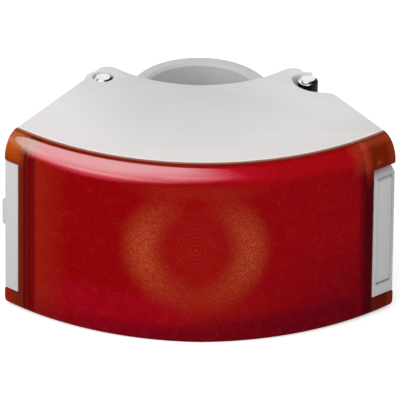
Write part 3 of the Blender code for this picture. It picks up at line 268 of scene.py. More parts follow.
def makePlastic(name, colour, worn, roughness, size):
    plastic = Finish(name)
    cloud = plastic.noise(12 * mm, 4)
    grain = plastic.noise(size, 3)
    plastic.feed("BaseColor", plastic.mix(plastic.step(cloud, 0.4, 0.7), colour, worn))
    plastic.feed("Roughness", roughness + grain * 0.15)
    plastic.bump(grain, 0.3, 0.05 * mm)
    return plastic.material


# Colours of the lens: its reds and dust, and many colours of painted light, highlight and shade
redLens = {
    "left": (0.30, 0.001, 0.002),
    "right": (0.345, 0.002, 0.006),
    "core": (0.35, 0.005, 0.005),
    "sheen": (0.70, 0.007, 0.04),
    "gold": (0.50, 0.080, 0.024),
    "seam": (0.48, 0.035, 0.006),
    "amber": (0.38, 0.062, 0.006),
    "honey": (0.60, 0.125, 0.008),
    "blaze": (0.52, 0.17, 0.05),
    "umber": (0.20, 0.016, 0.003),
    "lip": (0.42, 0.20, 0.15),
    "plum": (0.15, 0.001, 0.009),
    "rose": (0.37, 0.001, 0.011),
    "scarlet": (0.47, 0.004, 0.007),
    "dust": (0.03, 0.0, 0.001),
}


# Red lens: grained front with a painted view of the reflector ring behind it, ends painted lighter on the
# left and darker on the right, and a polished shoulder with painted sheen under its highlight
def makeRed(name):
    red = Finish(name, IOR=1.05, CoatIOR=3.4, CoatRoughness=0.05)
    x, y, z = (axis / mm for axis in red.axes())
    turn = x.calc("ARCTAN2", x, lens["axisY"] / mm - y) * (180 / pi)
    grain = red.step(red.noise(0.75 * mm, 3, 0.65), 0.32, 0.68)
    # Base painted darker on the left and lighter on the right: painted shade and light that even out the key
    # light from the left
    coats = Coats(red, red.mix(red.step(x, *lensFace["across"]), redLens["left"], redLens["right"]))
    paintRing(coats, x, z, grain)
    paintFoot(coats, x, z)
    mottle = red.step(red.noise(5 * mm, 4, 0.7), 0.45, 0.75)
    coats.add(mottle * grain * 0.13, redLens["gold"])
    paintStripes(coats, turn)
    band = paintShoulder(coats, x, z, turn)
    paintEndTops(coats, z, turn, band)
    paintLines(coats, z, turn, band)
    # Painted shadow: a dark line just under the plate's edge
    coats.add(red.step(z, *lensShoulder["umber"]) * 0.7, redLens["umber"])
    # Painted highlight: a pale lip along the lens's top edge
    coats.add(red.step(z, *lensShoulder["lip"]), redLens["lip"])
    coats.add((1 - grain) * 0.32, redLens["dust"])
    red.feed("BaseColor", coats.colour)
    red.feed("Roughness", 0.2 + grain * 0.15)
    fadeEnd = red.fall(turn, *lensShoulder["fadeTurn"]) * 0.15
    red.feed("CoatWeight", band * (0.9 - red.step(x, *lensShoulder["fade"]) * 0.2 - fadeEnd))
    red.bump(grain, 0.05, 0.05 * mm)
    return red.material


# Fields of the lens front, most of them painted light and shade, in millimetres across and up; pairs are the
# start and end of a soft step
lensFace = {
    "across": (-75, 70),
    "leftEdge": (-88, -66),
    "ringX": -2.0,
    "ringZ": 55.5,
    "ringIn": (15, 27.5),
    "ringOut": (28.5, 42),
    "ringBelow": (-45, 5),
    "core": (12, 46),
    "grooveRate": 2.6,  # radians for a millimetre
    "grooves": (9, 18),
    "grooveFade": (2, 7),
    "glowZ": 16,
    "glow": (8, 52),
    "roseX": -42,
    "roseAcross": (18, 48),
    "roseZ": 15,
    "roseUp": (7, 19),
    "warmLow": (83, 89),
    "warmHigh": (91, 95),
    "warmAcross": (12, 45),
    "foot": (4, 15),
    "footRaise": 6,
    "footRaised": (-20, 40),
    "footAcross": (-80, -10),
    "shadeAcross": (12, 90),
    "shadeUp": (15, 60),
}


# Painted view of the reflector behind the lens: a redder core, its ring lit brighter at the sides and below,
# painted glints on its grooves, a painted glow low in the middle, a painted lighter rose patch low on the
# left and a warmer left edge
def paintRing(coats, x, z, grain):
    red = coats.finish
    offX, offZ = x - lensFace["ringX"], z - lensFace["ringZ"]
    reach = (offX * offX + offZ * offZ) ** 0.5
    ring = red.step(reach, *lensFace["ringIn"]) * red.fall(reach, *lensFace["ringOut"])
    sides = offX * offX / (reach * reach + 1)
    below = red.fall(offZ, *lensFace["ringBelow"])
    wave = reach * lensFace["grooveRate"]
    grooveGlint = red.step(wave.calc("SINE", wave), 0.2, 0.9) * red.fall(reach, *lensFace["grooves"])
    drop = z - lensFace["glowZ"]
    glow = red.fall((x * x + drop * drop * 3.0) ** 0.5, *lensFace["glow"])
    rose = red.fall(abs(x - lensFace["roseX"]), *lensFace["roseAcross"])
    rose = rose * red.fall(abs(z - lensFace["roseZ"]), *lensFace["roseUp"])
    coats.add(red.fall(reach, *lensFace["core"]), redLens["core"])
    # Painted glow low in the middle of the lens
    coats.add(glow * 0.05, redLens["gold"])
    # Painted light: a lighter rose patch low on the left
    coats.add(rose * 0.8, redLens["rose"])
    coats.add(red.fall(x, *lensFace["leftEdge"]) * 0.14, redLens["gold"])
    # Painted reflection: the reflector's ring, lighter at its sides and below
    coats.add(ring * (sides * 0.95 + below * 0.3) * (0.3 + grain * 0.7), redLens["gold"])
    # Painted glints on the grooves
    coats.add(grooveGlint * (0.16 - red.step(reach, *lensFace["grooveFade"]) * 0.1), redLens["gold"])


# Painted warm glow under the highlight, painted shade along the foot and painted shade on the lower right
def paintFoot(coats, x, z):
    red = coats.finish
    # Painted warm glow just under the highlight
    warm = red.step(z, *lensFace["warmLow"]) * red.fall(z, *lensFace["warmHigh"])
    coats.add(warm * red.fall(abs(x), *lensFace["warmAcross"]) * 0.1, redLens["gold"])
    # Painted shade along the foot, reaching higher on the right
    raised = red.step(x, *lensFace["footRaised"]) * lensFace["footRaise"]
    foot = red.fall(z - raised, *lensFace["foot"])
    coats.add(foot * (0.35 + red.step(x, *lensFace["footAcross"]) * 0.4), redLens["plum"])
    # Painted shade on the lower right
    shade = red.step(x, *lensFace["shadeAcross"]) * red.fall(z, *lensFace["shadeUp"])
    coats.add(shade * 0.6, redLens["plum"])


# The lens ends with their painted light, shade and highlights: turns in degrees, levels in millimetres
lensEnds = {
    "left": (-35.4, -34.0),
    "right": (32.4, 34.4),
    "top": (85, 91),
    "goldTurn": (31, 34),
    "honeyUp": (89, 100),
    "amberTurn": (-40, -36.5),
    "umberTurn": (35.8, 37),
    "blazeTurn": (-37, -33.5),
    "edgeTurn": 35.2,
    "edge": (0.2, 0.7),
    "cornerTurn": (33, 36),
    "cornerUp": (98, 101),
    "boss": (38.2, 91),
    "bossSize": (0.8, 1.9),
    "bossEdge": (0.4, 1.1),
    "edgeGlintFrom": (34.5, 95.7),
    "edgeGlintSlope": 1.7,
    "seam": (0.4, 1.3),
    "edgeGlintStart": (31, 32.5),
    "edgeGlintEnd": (36, 36.6),
    "uprightTurn": 35.7,
    "upright": (0.3, 1.0),
    "uprightLow": (76, 90),
    "uprightHigh": (92, 93.5),
    "rampTurn": 43,
    "stripes": (
        (-42.4, (0.36, 0.012, 0.003)),
        (-38.6, (0.17, 0.018, 0.006)),
        (-37.6, (0.22, 0.012, 0.005)),
        (-36.9, (0.17, 0.004, 0.004)),
        (-36.0, (0.21, 0.003, 0.004)),
        (-35.4, (0.17, 0.002, 0.003)),
        (-34.6, (0.26, 0.006, 0.003)),
        (32.6, (0.29, 0.006, 0.004)),
        (34.4, (0.15, 0.001, 0.006)),
        (35.6, (0.11, 0.001, 0.006)),
        (36.2, (0.06, 0.001, 0.002)),
        (37.2, (0.16, 0.012, 0.004)),
        (42.4, (0.13, 0.008, 0.003)),
    ),
    "lines": (
        (-42.4, 0.5, 0.5, "gold"),
        (-37.3, 0.35, 0.6, "dust"),
        (-36.0, 0.3, 0.5, "dust"),
        (-34.9, 0.3, 0.35, "dust"),
        (35.3, 0.3, 0.4, "dust"),
        (42.4, 2.2, 0.25, "gold"),
    ),
}


# Upright stripes of the thicker end walls; the right end's stripes are darker, as painted shade
def paintStripes(coats, turn):
    red = coats.finish
    spread = 2 * lensEnds["rampTurn"]
    stops = [(0.5 + degrees / spread, colour) for degrees, colour in lensEnds["stripes"]]
    ends = red.fall(turn, *lensEnds["left"]) + red.step(turn, *lensEnds["right"])
    coats.add(ends, red.ramp(turn / spread + 0.5, *stops))


# The highlight on the shoulder, with its painted sheen, and the painted fields round it, in millimetres;
# turns in degrees
lensShoulder = {
    "low": (91.8, 99.0),
    "high": (101.2, 101.8),
    "rise": (-55, 20),
    "riseBy": 3.2,
    "riseTurn": (-42, -36),
    "riseTurnBy": 2.5,
    "riseLeft": (-86, -60),
    "riseLeftBy": 1.4,
    "middleZ": 95,
    "slant": 3.0,
    "tail": (4, 36),
    "glareLow": (91.2, 94.4),
    "glareHigh": (100.9, 101.6),
    "glareTurn": (-38, -34),
    "glareSlant": 2.0,
    "glareTail": (10, 48),
    "scarletLow": (91, 96),
    "scarletHigh": (100.8, 101.8),
    "scarletAcross": (0, 30),
    "umber": (101.7, 102.0),
    "lip": (102.2, 102.4),
    "fade": (-45, 10),
    "fadeTurn": (-42, -33),
}


# The polished band of the shoulder, which is also where the coat shines; under it a painted pink sheen, and
# right of it a painted scarlet sheen
def paintShoulder(coats, x, z, turn):
    red = coats.finish
    lift = red.step(x, *lensShoulder["rise"]) * lensShoulder["riseBy"]
    lift = lift + red.fall(turn, *lensShoulder["riseTurn"]) * lensShoulder["riseTurnBy"]
    lift = lift + red.fall(x, *lensShoulder["riseLeft"]) * lensShoulder["riseLeftBy"]
    above = z - lensShoulder["middleZ"]
    band = red.step(z - lift, *lensShoulder["low"]) * red.fall(z, *lensShoulder["high"])
    band = band * red.fall(x + above * lensShoulder["slant"], *lensShoulder["tail"])
    # Painted sheen: a lighter scarlet strip right of the highlight
    scarlet = red.step(z, *lensShoulder["scarletLow"]) * red.fall(z, *lensShoulder["scarletHigh"])
    coats.add(scarlet * red.step(x, *lensShoulder["scarletAcross"]) * 0.75, redLens["scarlet"])
    # Painted highlight: a pink sheen under the coat's highlight
    glare = red.step(z - lift, *lensShoulder["glareLow"]) * red.fall(z, *lensShoulder["glareHigh"])
    glare = glare * red.step(turn, *lensShoulder["glareTurn"])
    glare = glare * red.fall(x + above * lensShoulder["glareSlant"], *lensShoulder["glareTail"])
    coats.add(glare * 0.85, redLens["sheen"])
    return band


# Clear tops of the ends: amber painted light on the left, umber painted shade on the right, a painted glow
# near the right end and a painted highlight on the left end
def paintEndTops(coats, z, turn, band):
    red = coats.finish
    top = red.step(z, *lensEnds["top"])
    amber = red.mix(red.step(z, *lensEnds["honeyUp"]), redLens["amber"], redLens["honey"])
    # Painted glow near the right end's top
    coats.add(red.step(turn, *lensEnds["goldTurn"]) * top * 0.25, redLens["gold"])
    # Painted light: amber on the left end's top
    coats.add(red.fall(turn, *lensEnds["amberTurn"]) * top * 0.9, amber)
    # Painted shade: umber on the right end's top
    coats.add(red.step(turn, *lensEnds["umberTurn"]) * top, redLens["umber"])
    # Painted highlight on the left end
    coats.add(band * red.fall(turn, *lensEnds["blazeTurn"]) * 0.85, redLens["blaze"])


# Fine dark lines of the ends with painted highlights along their outer edges, and on the right one painted
# highlights along an edge, its top corner and two inner edges, and a painted glint on a boss
def paintLines(coats, z, turn, band):
    red = coats.finish
    # Fine dark lines, and painted highlights along the outer edges of the ends
    for degrees, width, share, colour in lensEnds["lines"]:
        line = red.fall(abs(turn - degrees), width * 0.4, width)
        coats.add(line * share * (1 - band * 0.8), redLens[colour])
    # Painted highlights on the right end's edge and top corner
    edge = red.fall(abs(turn - lensEnds["edgeTurn"]), *lensEnds["edge"]) * red.step(z, *lensEnds["top"])
    corner = red.step(turn, *lensEnds["cornerTurn"]) * red.step(z, *lensEnds["cornerUp"])
    coats.add((edge + corner) * 0.45, redLens["gold"])
    # Painted glint on a boss seen through the right end
    (bossTurn, bossZ), (bossWidth, bossHeight) = lensEnds["boss"], lensEnds["bossSize"]
    offTurn, offZ = (turn - bossTurn) / bossWidth, (z - bossZ) / bossHeight
    boss = red.fall((offTurn * offTurn + offZ * offZ) ** 0.5, *lensEnds["bossEdge"])
    coats.add(boss * 0.45, redLens["gold"])
    # Painted highlights along a slanted and an upright inner edge of the right end
    glintTurn, glintZ = lensEnds["edgeGlintFrom"]
    seam = red.fall(abs(z - glintZ + (turn - glintTurn) * lensEnds["edgeGlintSlope"]), *lensEnds["seam"])
    seam = seam * red.step(turn, *lensEnds["edgeGlintStart"]) * red.fall(turn, *lensEnds["edgeGlintEnd"])
    upright = red.fall(abs(turn - lensEnds["uprightTurn"]), *lensEnds["upright"])
    upright = upright * red.step(z, *lensEnds["uprightLow"]) * red.fall(z, *lensEnds["uprightHigh"])
    coats.add((seam + upright) * 0.55, redLens["seam"])


# Steps of the stud finish are in the parts of the surface's normal
chromeStud = {
    "crown": (0.84, 0.84, 0.85),
    "worn": (0.62, 0.62, 0.62),
    "shadedShank": (0.015, 0.015, 0.016),
    "crownUp": (0.15, 0.4),
    "darkReflectionRight": (0.05, 0.3),
    "darkReflectionBack": (0.1, 0.4),
    "darkReflectionUp": (0.93, 0.98),
}


# Studs: polished crowns with a painted dark reflection on their right slope, and shanks painted near black
# as painted shade and dark reflection
def makeStud(name):
    stud = Finish(name, Metallic=1.0)
    split = stud.node("SeparateXYZ", sockets={0: stud.node("NewGeometry", out="Normal")}).socket.node
    right, back, upward = (Value(stud, socket) for socket in split.outputs)
    wear = stud.noise(1.2 * mm, 4, 0.65)
    # Painted dark reflection on the right slope of the crown
    darkReflection = stud.step(right, *chromeStud["darkReflectionRight"]) * stud.fall(back, *chromeStud["darkReflectionBack"])
    darkReflection = darkReflection * stud.fall(upward, *chromeStud["darkReflectionUp"])
    polished = stud.step(upward, *chromeStud["crownUp"]) * (1 - darkReflection)
    crown = stud.mix(stud.step(wear, 0.55, 0.8), chromeStud["crown"], chromeStud["worn"])
    # Shanks painted near black: painted shade and dark reflection
    stud.feed("BaseColor", stud.mix(polished, chromeStud["shadedShank"], crown))
    stud.feed("Roughness", 0.3 - polished * 0.2 + wear * 0.08)
    stud.bump(wear, 0.1, 0.02 * mm)
    return stud.material


# Cells stand upright; levels in millimetres
cellJacket = {
    "sleeve": (0.03, 0.04, 0.065),
    "rubbed": (0.05, 0.06, 0.085),
    "band": (0.42, 0.44, 0.46),
    "steel": (0.62, 0.62, 0.60),
    "sleeveLow": (15.6, 16.0),
    "sleeveHigh": (72.4, 72.8),
    "bandLow": (58.9, 59.1),
    "bandHigh": (66.9, 67.1),
    "lineLow": (61.4, 61.6),
    "lineHigh": (62.2, 62.4),
}


# Cells: bare steel ends, plain dark sleeve with one pale band
def makeCell(name):
    cell = Finish(name)
    z = cell.axes()[2] / mm
    wear = cell.noise(3 * mm, 4, 0.65)
    ends = cell.fall(z, *cellJacket["sleeveLow"]) + cell.step(z, *cellJacket["sleeveHigh"])
    band = cell.step(z, *cellJacket["bandLow"]) * cell.fall(z, *cellJacket["bandHigh"])
    line = cell.step(z, *cellJacket["lineLow"]) * cell.fall(z, *cellJacket["lineHigh"])
    coats = Coats(cell, cell.mix(cell.step(wear, 0.5, 0.75), cellJacket["sleeve"], cellJacket["rubbed"]))
    coats.add(band * (1 - line), cellJacket["band"])
    coats.add(ends, cellJacket["steel"])
    cell.feed("BaseColor", coats.colour)
    cell.feed("Metallic", ends)
    cell.feed("Roughness", 0.22 + ends * 0.08 + wear * 0.12)
    cell.bump(wear, 0.08, 0.03 * mm)
    return cell.material


boardMask = {
    "mask": (0.012, 0.12, 0.04),
    "track": (0.03, 0.22, 0.08),
    "pad": (0.6, 0.6, 0.58),
    "trackPitch": 0.9,  # millimetres
    "padPitch": 4.5 * mm,
}


# Circuit boards: solder mask with fine tracks and tinned pads
def makeBoard(name):
    board = Finish(name, IOR=1.5)
    x, y, z = (axis / mm for axis in board.axes())
    patch = board.step(board.noise(7 * mm, 1), 0.47, 0.5)
    across, along = (boardTracks(board, way) for way in (x + y, z))
    tracks = patch * across + (1 - patch) * along
    cells = board.node("TexVoronoi", None, {"Vector": board.place(), "Scale": 1 / boardMask["padPitch"]})
    pads = board.fall(cells, 0.16, 0.2)
    coats = Coats(board, board.mix(tracks * 0.8, boardMask["mask"], boardMask["track"]))
    coats.add(pads, boardMask["pad"])
    board.feed("BaseColor", coats.colour)
    board.feed("Metallic", pads)
    board.feed("Roughness", 0.3 + tracks * 0.08 - pads * 0.05)
    board.bump(tracks + pads, 0.2, 0.04 * mm)
    return board.material


def boardTracks(board, way):
    pitch = boardMask["trackPitch"]
    return board.fall(abs(way.calc("PINGPONG", way, pitch) - pitch / 2), 0.16, 0.24)


finishes = {
    "red_lens": makeRed("redLens"),
    # The housing's grey, with painted light on its plate
    "grey_moulding": makeGrey("greyMoulding", greyMoulding["colour"], greyMoulding["shade"], True),
    "black_rubber": makePlastic("blackRubber", (0.025, 0.025, 0.027), (0.05, 0.05, 0.05), 0.65, 0.4 * mm),
    "dark_moulding": makePlastic("darkMoulding", (0.045, 0.04, 0.04), (0.06, 0.055, 0.05), 0.5, 0.5 * mm),
    "reflector_coat": makeMetal("reflectorCoat", (0.88, 0.72, 0.46), 0.12),
    "clear_optic": makePlastic("clearOptic", (0.75, 0.72, 0.66), (0.68, 0.66, 0.6), 0.08, 0.8 * mm),
    "emitter_phosphor": makePlastic("emitterPhosphor", (0.85, 0.68, 0.16), (0.8, 0.6, 0.12), 0.35, 0.2 * mm),
    "circuit_board": makeBoard("circuitBoard"),
    "aluminium": makeMetal("aluminium", (0.72, 0.72, 0.73), 0.32, 0.25),
    "zinc_steel": makeMetal("zincSteel", (0.62, 0.62, 0.60), 0.3, 0.15),
    "chrome": makeStud("chrome"),
    "brass": makeMetal("brass", (0.72, 0.50, 0.18), 0.25, 0.15),
    "cell_jacket": makePlastic("cellJacket", (0.04, 0.05, 0.08), (0.06, 0.07, 0.1), 0.25, 0.6 * mm),
    "black_component": makePlastic("blackComponent", (0.02, 0.02, 0.02), (0.035,) * 3, 0.4, 0.3 * mm),
}
print("finishes made:", len(finishes))

# Darker copies of the same grey for the cheeks, latch, button and rear door, and the cells in their sleeves
darkerGrey = makeGrey("cheekGrey", cheekGrey["colour"], cheekGrey["shade"])
nodeFinishes = dict.fromkeys(("left_cheek", "right_cheek", "lens_latch", "switch_button"), darkerGrey)
nodeFinishes["rear_door"] = makeGrey("doorGrey", doorGrey["colour"], doorGrey["shade"])
plainCell = makeCell("cellSleeve")
nodeFinishes.update({"battery_left": plainCell, "battery_right": plainCell})

# CAD nodes take their own finish from that list, or the finish of their slot
for part in frame["record"]["subparts"]:
    carried = nodes[part["node"]]
    carried.data.materials.clear()
    carried.data.materials.append(nodeFinishes.get(part["node"], finishes[part["material_slot"]]))


# Camera at the photograph's angle
camera = {
    "azimuth": -0.35,
    "elevation": 28.93,
    "roll": 0.63,
    "distance": 4.826,
    "lens": 824.6,
    "sensor": 36,
    "clipEnd": 20,
    "aim": Vector((0.0002, -0.0357, 0.0577)),
}


def makeCamera():
    turn, rise = radians(camera["azimuth"]), radians(camera["elevation"])
    back = Vector((sin(turn) * cos(rise), -cos(turn) * cos(rise), sin(rise)))
    made = bpy.data.objects.new("camera", bpy.data.cameras.new("camera"))
    scene.collection.objects.link(made)
    made.data.sensor_width = camera["sensor"]
    made.data.lens = camera["lens"]
    made.data.clip_end = camera["clipEnd"]
    spin = Matrix.Rotation(radians(camera["roll"]), 4, "Z")
    facing = (-back).to_track_quat("-Z", "Y").to_matrix().to_4x4()
    made.matrix_world = Matrix.Translation(camera["aim"] + back * camera["distance"]) @ facing @ spin
    scene.camera = made


makeCamera()

# Studio: soft box from the upper left, faint surround, white floor that keeps the shadow
studio = {
    "keyPower": 20.0,
    "keySize": (2.3, 2.15),
    "keyTurn": -34,
    "keyRise": 46,
    "keyReach": 1.35,
    "keyAim": Vector((0, -0.03, 0.06)),
    "surround": 0.45,
    "glossDim": 0.03,
    "floorColour": (0.86, 0.86, 0.86),
    "floorLift": (0.5, 0.5, 0.5),
    "floorGrid": 8,
    "floorSize": 6,
}

# Where gloss sees white: soft steps in the parts of a direction, to the right, to the back and upwards
whiteWalls = {
    "wallTop": (0.75, 0.9),
    "back": (0.3, 0.5),
    "left": (-0.9, -0.72),
    "leftShare": 0.8,
    "horizon": (0.2, 0.32),
    "ceiling": (0.94, 0.98),
    "ceilingBack": (0.05, 0.2),
    "front": (-0.5, -0.3),
    "frontTop": (0.5, 0.65),
    "frontRight": (-0.3, -0.1),
}


def makeKey():
    lamp = bpy.data.lights.new("softBox", "AREA")
    lamp.shape = "RECTANGLE"
    lamp.size, lamp.size_y = studio["keySize"]
    lamp.energy = studio["keyPower"]
    made = bpy.data.objects.new("softBox", lamp)
    scene.collection.objects.link(made)
    turn, rise = radians(studio["keyTurn"]), radians(studio["keyRise"])
    towards = Vector((sin(turn) * cos(rise), -cos(turn) * cos(rise), sin(rise)))
    made.location = studio["keyAim"] + towards * studio["keyReach"]
    made.rotation_mode = "QUATERNION"
    made.rotation_quaternion = towards.to_track_quat("Z", "Y")


# Rays from the camera, in gloss and through clear pieces
def rayKinds(finish):
    rays = finish.node("LightPath").socket.node.outputs
    return [Value(finish, rays[name]) for name in ("Is Camera Ray", "Is Glossy Ray", "Is Transmission Ray")]


class WorldFinish(Finish):
    def __init__(self, world):
        self.tree = world.node_tree
        self.shader = self.tree.nodes["Background"]


# Walls at the back and left, the back of the ceiling, what lies below the horizon and a low wall in front
def wallShare(surround):
    facing = surround.node("TexCoord", out="Generated")
    split = surround.node("SeparateXYZ", sockets={0: facing}).socket.node
    side, ahead, rise = (Value(surround, socket) for socket in split.outputs)
    wall = surround.fall(rise, *whiteWalls["wallTop"])
    back = surround.step(ahead, *whiteWalls["back"]) * wall
    left = surround.fall(side, *whiteWalls["left"]) * wall * whiteWalls["leftShare"]
    front = surround.fall(ahead, *whiteWalls["front"]) * surround.fall(rise, *whiteWalls["frontTop"])
    front = front * surround.step(side, *whiteWalls["frontRight"])
    ceiling = surround.step(rise, *whiteWalls["ceiling"]) * surround.step(ahead, *whiteWalls["ceilingBack"])
    share = surround.fall(rise, *whiteWalls["horizon"]) + ceiling
    for part in (back, left, front):
        share = part.calc("MAXIMUM", part, share)
    return share


# White for the camera, white walls in a dim room for gloss, and a faint even light for the rest
def makeWorld():
    world = bpy.data.worlds.new("surround")
    world.use_nodes = True
    scene.world = world
    surround = WorldFinish(world)
    surround.feed("Color", (1, 1, 1))
    eye, gloss, through = rayKinds(surround)
    dim = studio["glossDim"]
    mirrored = (gloss + through) * (dim + wallShare(surround) * (1 - dim))
    soft = (1 - eye - gloss - through) * studio["surround"]
    surround.feed("Strength", eye + mirrored + soft)


# The floor is lifted to white only for the camera, gloss and clear pieces
def makeFloor():
    mesh = bpy.data.meshes.new("floor")
    form = bmesh.new()
    grid = studio["floorGrid"]
    bmesh.ops.create_grid(form, x_segments=grid, y_segments=grid, size=studio["floorSize"])
    form.to_mesh(mesh)
    form.free()
    floor = bpy.data.objects.new("floor", mesh)
    scene.collection.objects.link(floor)
    paper = Finish("floorPaper", Roughness=0.9, SpecularIORLevel=0.0)
    paper.feed("BaseColor", studio["floorColour"])
    eye, gloss, through = rayKinds(paper)
    seen = eye.calc("MAXIMUM", eye, gloss.calc("MAXIMUM", gloss, through))
    paper.feed("EmissionColor", paper.mix(seen, (0, 0, 0), studio["floorLift"]))
    paper.feed("EmissionStrength", 1.0)
    mesh.materials.append(paper.material)


makeKey()
makeWorld()
makeFloor()
print("studio made")


# Solid swept about an upright axis at (0, axisY), with a profile for each turn in degrees; 0 faces the front
def sweep(name, axisY, turns, profiles):
    form = bmesh.new()
    rings = []
    for degrees, profile in zip(turns, profiles):
        across, forward = sin(radians(degrees)), cos(radians(degrees))
        corners = [(radius * across, axisY - radius * forward, height) for radius, height in profile]
        rings.append([form.verts.new(corner) for corner in corners])
    count = len(rings[0])
    for near, far in zip(rings, rings[1:]):
        for index in range(count):
            following = (index + 1) % count
            form.faces.new((near[index], near[following], far[following], far[index]))
    form.faces.new(rings[0])
    form.faces.new(rings[-1][::-1])
    bmesh.ops.recalc_face_normals(form, faces=form.faces)
    return keepMesh(name, form)


# Solid turned about the upright line through a point, from its top down to its foot
def turned(name, profile, centre, sides):
    form = bmesh.new()
    rings = []
    for radius, height in profile:
        turns = [2 * pi * index / sides for index in range(sides if radius else 1)]
        spots = [(centre.x + radius * cos(turn), centre.y + radius * sin(turn), height) for turn in turns]
        rings.append([form.verts.new(spot) for spot in spots])
    for upper, lower in zip(rings, rings[1:]):
        for near in range(sides):
            far = (near + 1) % sides
            corners = [upper[near % len(upper)], upper[far % len(upper)]]
            corners += [lower[far % len(lower)], lower[near % len(lower)]]
            form.faces.new(list(dict.fromkeys(corners)))
    bmesh.ops.recalc_face_normals(form, faces=form.faces)
    return keepMesh(name, form)


# Upright solid on a plan outline
def slab(name, outline, low, high):
    form = bmesh.new()
    base = form.faces.new([form.verts.new((x, y, low)) for x, y in outline])
    raised = bmesh.ops.extrude_face_region(form, geom=[base])["geom"]
    lifted = [item for item in raised if isinstance(item, bmesh.types.BMVert)]
    bmesh.ops.translate(form, vec=(0, 0, high - low), verts=lifted)
    bmesh.ops.recalc_face_normals(form, faces=form.faces)
    return keepMesh(name, form)


def keepMesh(name, form):
    mesh = bpy.data.meshes.new(name)
    form.to_mesh(mesh)
    form.free()
    made = bpy.data.objects.new(name, mesh)
    scene.collection.objects.link(made)
    return made


def combine(piece, operation, *tools):
    for tool in tools:
        modifier = piece.modifiers.new(operation, "BOOLEAN")
        modifier.operation = operation
        modifier.solver = "EXACT"
        modifier.object = tool
        settle(piece)
        bpy.data.objects.remove(tool)


# Modifiers worked into the mesh
def settle(piece):
    graph = bpy.context.evaluated_depsgraph_get()
    mesh = bpy.data.meshes.new_from_object(piece.evaluated_get(graph))
    piece.modifiers.clear()
    piece.data = mesh


# Rounded edges with smooth faces between them
def soften(piece, width, segments=3, angle=35):
    piece.data.shade_smooth()
    modifier = piece.modifiers.new("edges", "BEVEL")
    modifier.width = width
    modifier.segments = segments
    modifier.limit_method = "ANGLE"
    modifier.angle_limit = radians(angle)
    modifier.harden_normals = True
    return piece


def dress(piece, slot, body, *replaced):
    piece.data.materials.clear()
    piece.data.materials.append(finishes[slot])
    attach(piece, body)
    if replaced:
        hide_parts(*replaced)


def quarterTurn(steps):
    return [pi / 2 * index / steps for index in range(steps + 1)]


def polar(radius, degrees):
    return radius * sin(radians(degrees)), lens["axisY"] - radius * cos(radians(degrees))


# The foot's radius grows from the middle to the ends
def lensOuter(degrees):
    depth, drop = lens["shoulder"]
    least = lens["tuckMiddle"]
    share = least + (1 - least) * abs(degrees) / lens["halfTurn"]
    tuckDepth, tuckRise = (size * share for size in lens["tuck"])
    top, radius, edge = lens["height"], lens["radius"], lens["edgeRadius"]
    turns = quarterTurn(lens["shoulderSteps"])[1:]
    shoulder = [(lens["plateRadius"] + depth * sin(turn), top - drop * (1 - cos(turn))) for turn in turns]
    wall = [(radius, level * mm) for level in lens["wallLevels"]]
    lowTurns = quarterTurn(lens["tuckSteps"])
    tuck = [(radius - tuckDepth * (1 - cos(turn)), tuckRise * (1 - sin(turn))) for turn in lowTurns]
    floor, rim = lens["overFloor"], lens["rimRadius"]
    rear = [(edge, 0), (edge, floor), (rim, floor), (rim, lens["underPlate"])]
    return [(edge, lens["underPlate"]), (edge, top), *shoulder, *wall, *tuck, *rear]


def lensInner():
    depth, drop = lens["shoulder"]
    top = lens["underPlate"] - lens["tongue"]
    low = lens["overFloor"] + lens["tongue"]
    spring = lens["height"] - drop
    wall = lens["wall"]
    reach, rise = depth - wall, top - spring
    turns = quarterTurn(lens["innerSteps"])
    shoulder = [(lens["plateRadius"] + reach * sin(turn), spring + rise * cos(turn)) for turn in turns]
    inner, back = lens["radius"] - wall, lens["innerRadius"]
    return [(back, top), *shoulder, (inner, low + wall), (inner - wall, low), (back, low)]


def notchWedges(margin):
    low, high = lens["notchLow"] - margin, lens["notchHigh"] + margin
    spare = margin / lens["plateRadius"] * 180 / pi
    near, far = lens["wedgeReach"]
    end = lens["wedgeTurn"]
    wedges = []
    for side, degrees in ((-1, lens["leftNotch"]), (1, lens["rightNotch"])):
        start = degrees - spare
        corners = ((near, start), (far, start), (far, end), (near, end))
        plan = [polar(radius, side * turn) for radius, turn in corners]
        wedges.append(slab("wedge", plan if side > 0 else plan[::-1], low, high))
    return wedges


def lensTurns(half):
    steps = lens["steps"]
    return [-half + 2 * half * index / steps for index in range(steps + 1)]


def makeLens():
    half = lens["halfTurn"]
    spare = lens["wall"] / lens["plateRadius"] * 180 / pi
    innerTurns, outerTurns = lensTurns(half - spare), lensTurns(half)
    void = sweep("void", lens["axisY"], innerTurns, [lensInner()] * len(innerTurns))
    combine(void, "DIFFERENCE", *notchWedges(lens["wall"]))
    shell = sweep("lensShell", lens["axisY"], outerTurns, [lensOuter(degrees) for degrees in outerTurns])
    combine(shell, "DIFFERENCE", *notchWedges(0), void)
    soften(shell, lens["edge"])
    dress(shell, "red_lens", "light_body", "lens")


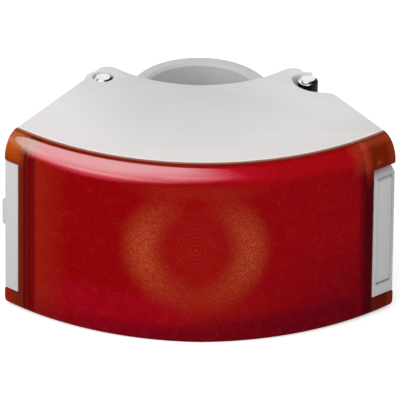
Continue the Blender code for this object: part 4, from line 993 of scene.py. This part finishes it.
makeLens()
print("lens made")

# Studs: a low disc on a sloped and rounded crown; stems as radius and level, in millimetres
studs = {"disc": 3.8, "step": 0.25, "draft": 0.05, "slope": (1.2, 0.95)}
studs.update({"bendSteps": 4, "sides": 72, "edge": 0.06})
studs["hingeStem"] = ((5.4, 98.5), (4, 98.5), (4, 2.9), (3.2, 2.9), (3.2, 1.3), (4, 1.3), (4, 0.3))
studs["lockStem"] = (
    (5.4, 80.8), (3, 80.8), (3, 65.4), (2.3, 65.4), (2.3, 61.8), (3, 61.8), (3, 40.1), (2.4, 39.5))


def makeStudPiece(name, node, body, stem):
    low, high = (Vector(corner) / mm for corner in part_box(node))
    disc, drop, (reach, fall) = studs["disc"], studs["step"], studs["slope"]
    top, radius = high.z, stem[0][0]
    bend = radius - disc - reach
    steps = studs["bendSteps"]
    arc = [pi / 2 * (1 - index / steps) for index in range(1, steps + 1)]
    level = top - drop - fall
    rounded = [(radius - bend + bend * cos(turn), level - bend + bend * sin(turn)) for turn in arc]
    crown = [(disc, top), (disc + studs["draft"], top - drop), (disc + reach, level), *rounded]
    middle = (low + high) / 2
    rings = [(0, top), *crown, *stem, (0, stem[-1][1])]
    piece = turned(name, [(out * mm, height * mm) for out, height in rings], middle * mm, studs["sides"])
    dress(soften(piece, studs["edge"] * mm, 2), "chrome", body, node)


makeStudPiece("hingeStud", "hinge_pin", "light_body", studs["hingeStem"])
makeStudPiece("lockStud", "lock_bolt", "lock_bolt", studs["lockStem"])
print("studs made")


# Small moulded radii on the edges of the carried nodes, in millimetres
moulded = {
    "housing": 0.7,
    "rear_door": 0.9,
    "left_cheek": 0.4,
    "right_cheek": 0.4,
    "lens_latch": 0.3,
    "switch_button": 0.5,
    "lock_washer": 0.2,
    "lock_tongue": 0.4,
}


def roundEdges(node, width):
    weld = node.modifiers.new("weld", "WELD")
    weld.merge_threshold = 0.001 * mm
    soften(node, width)


for name, width in moulded.items():
    roundEdges(nodes[name], width * mm)
print("edges rounded:", len(moulded))
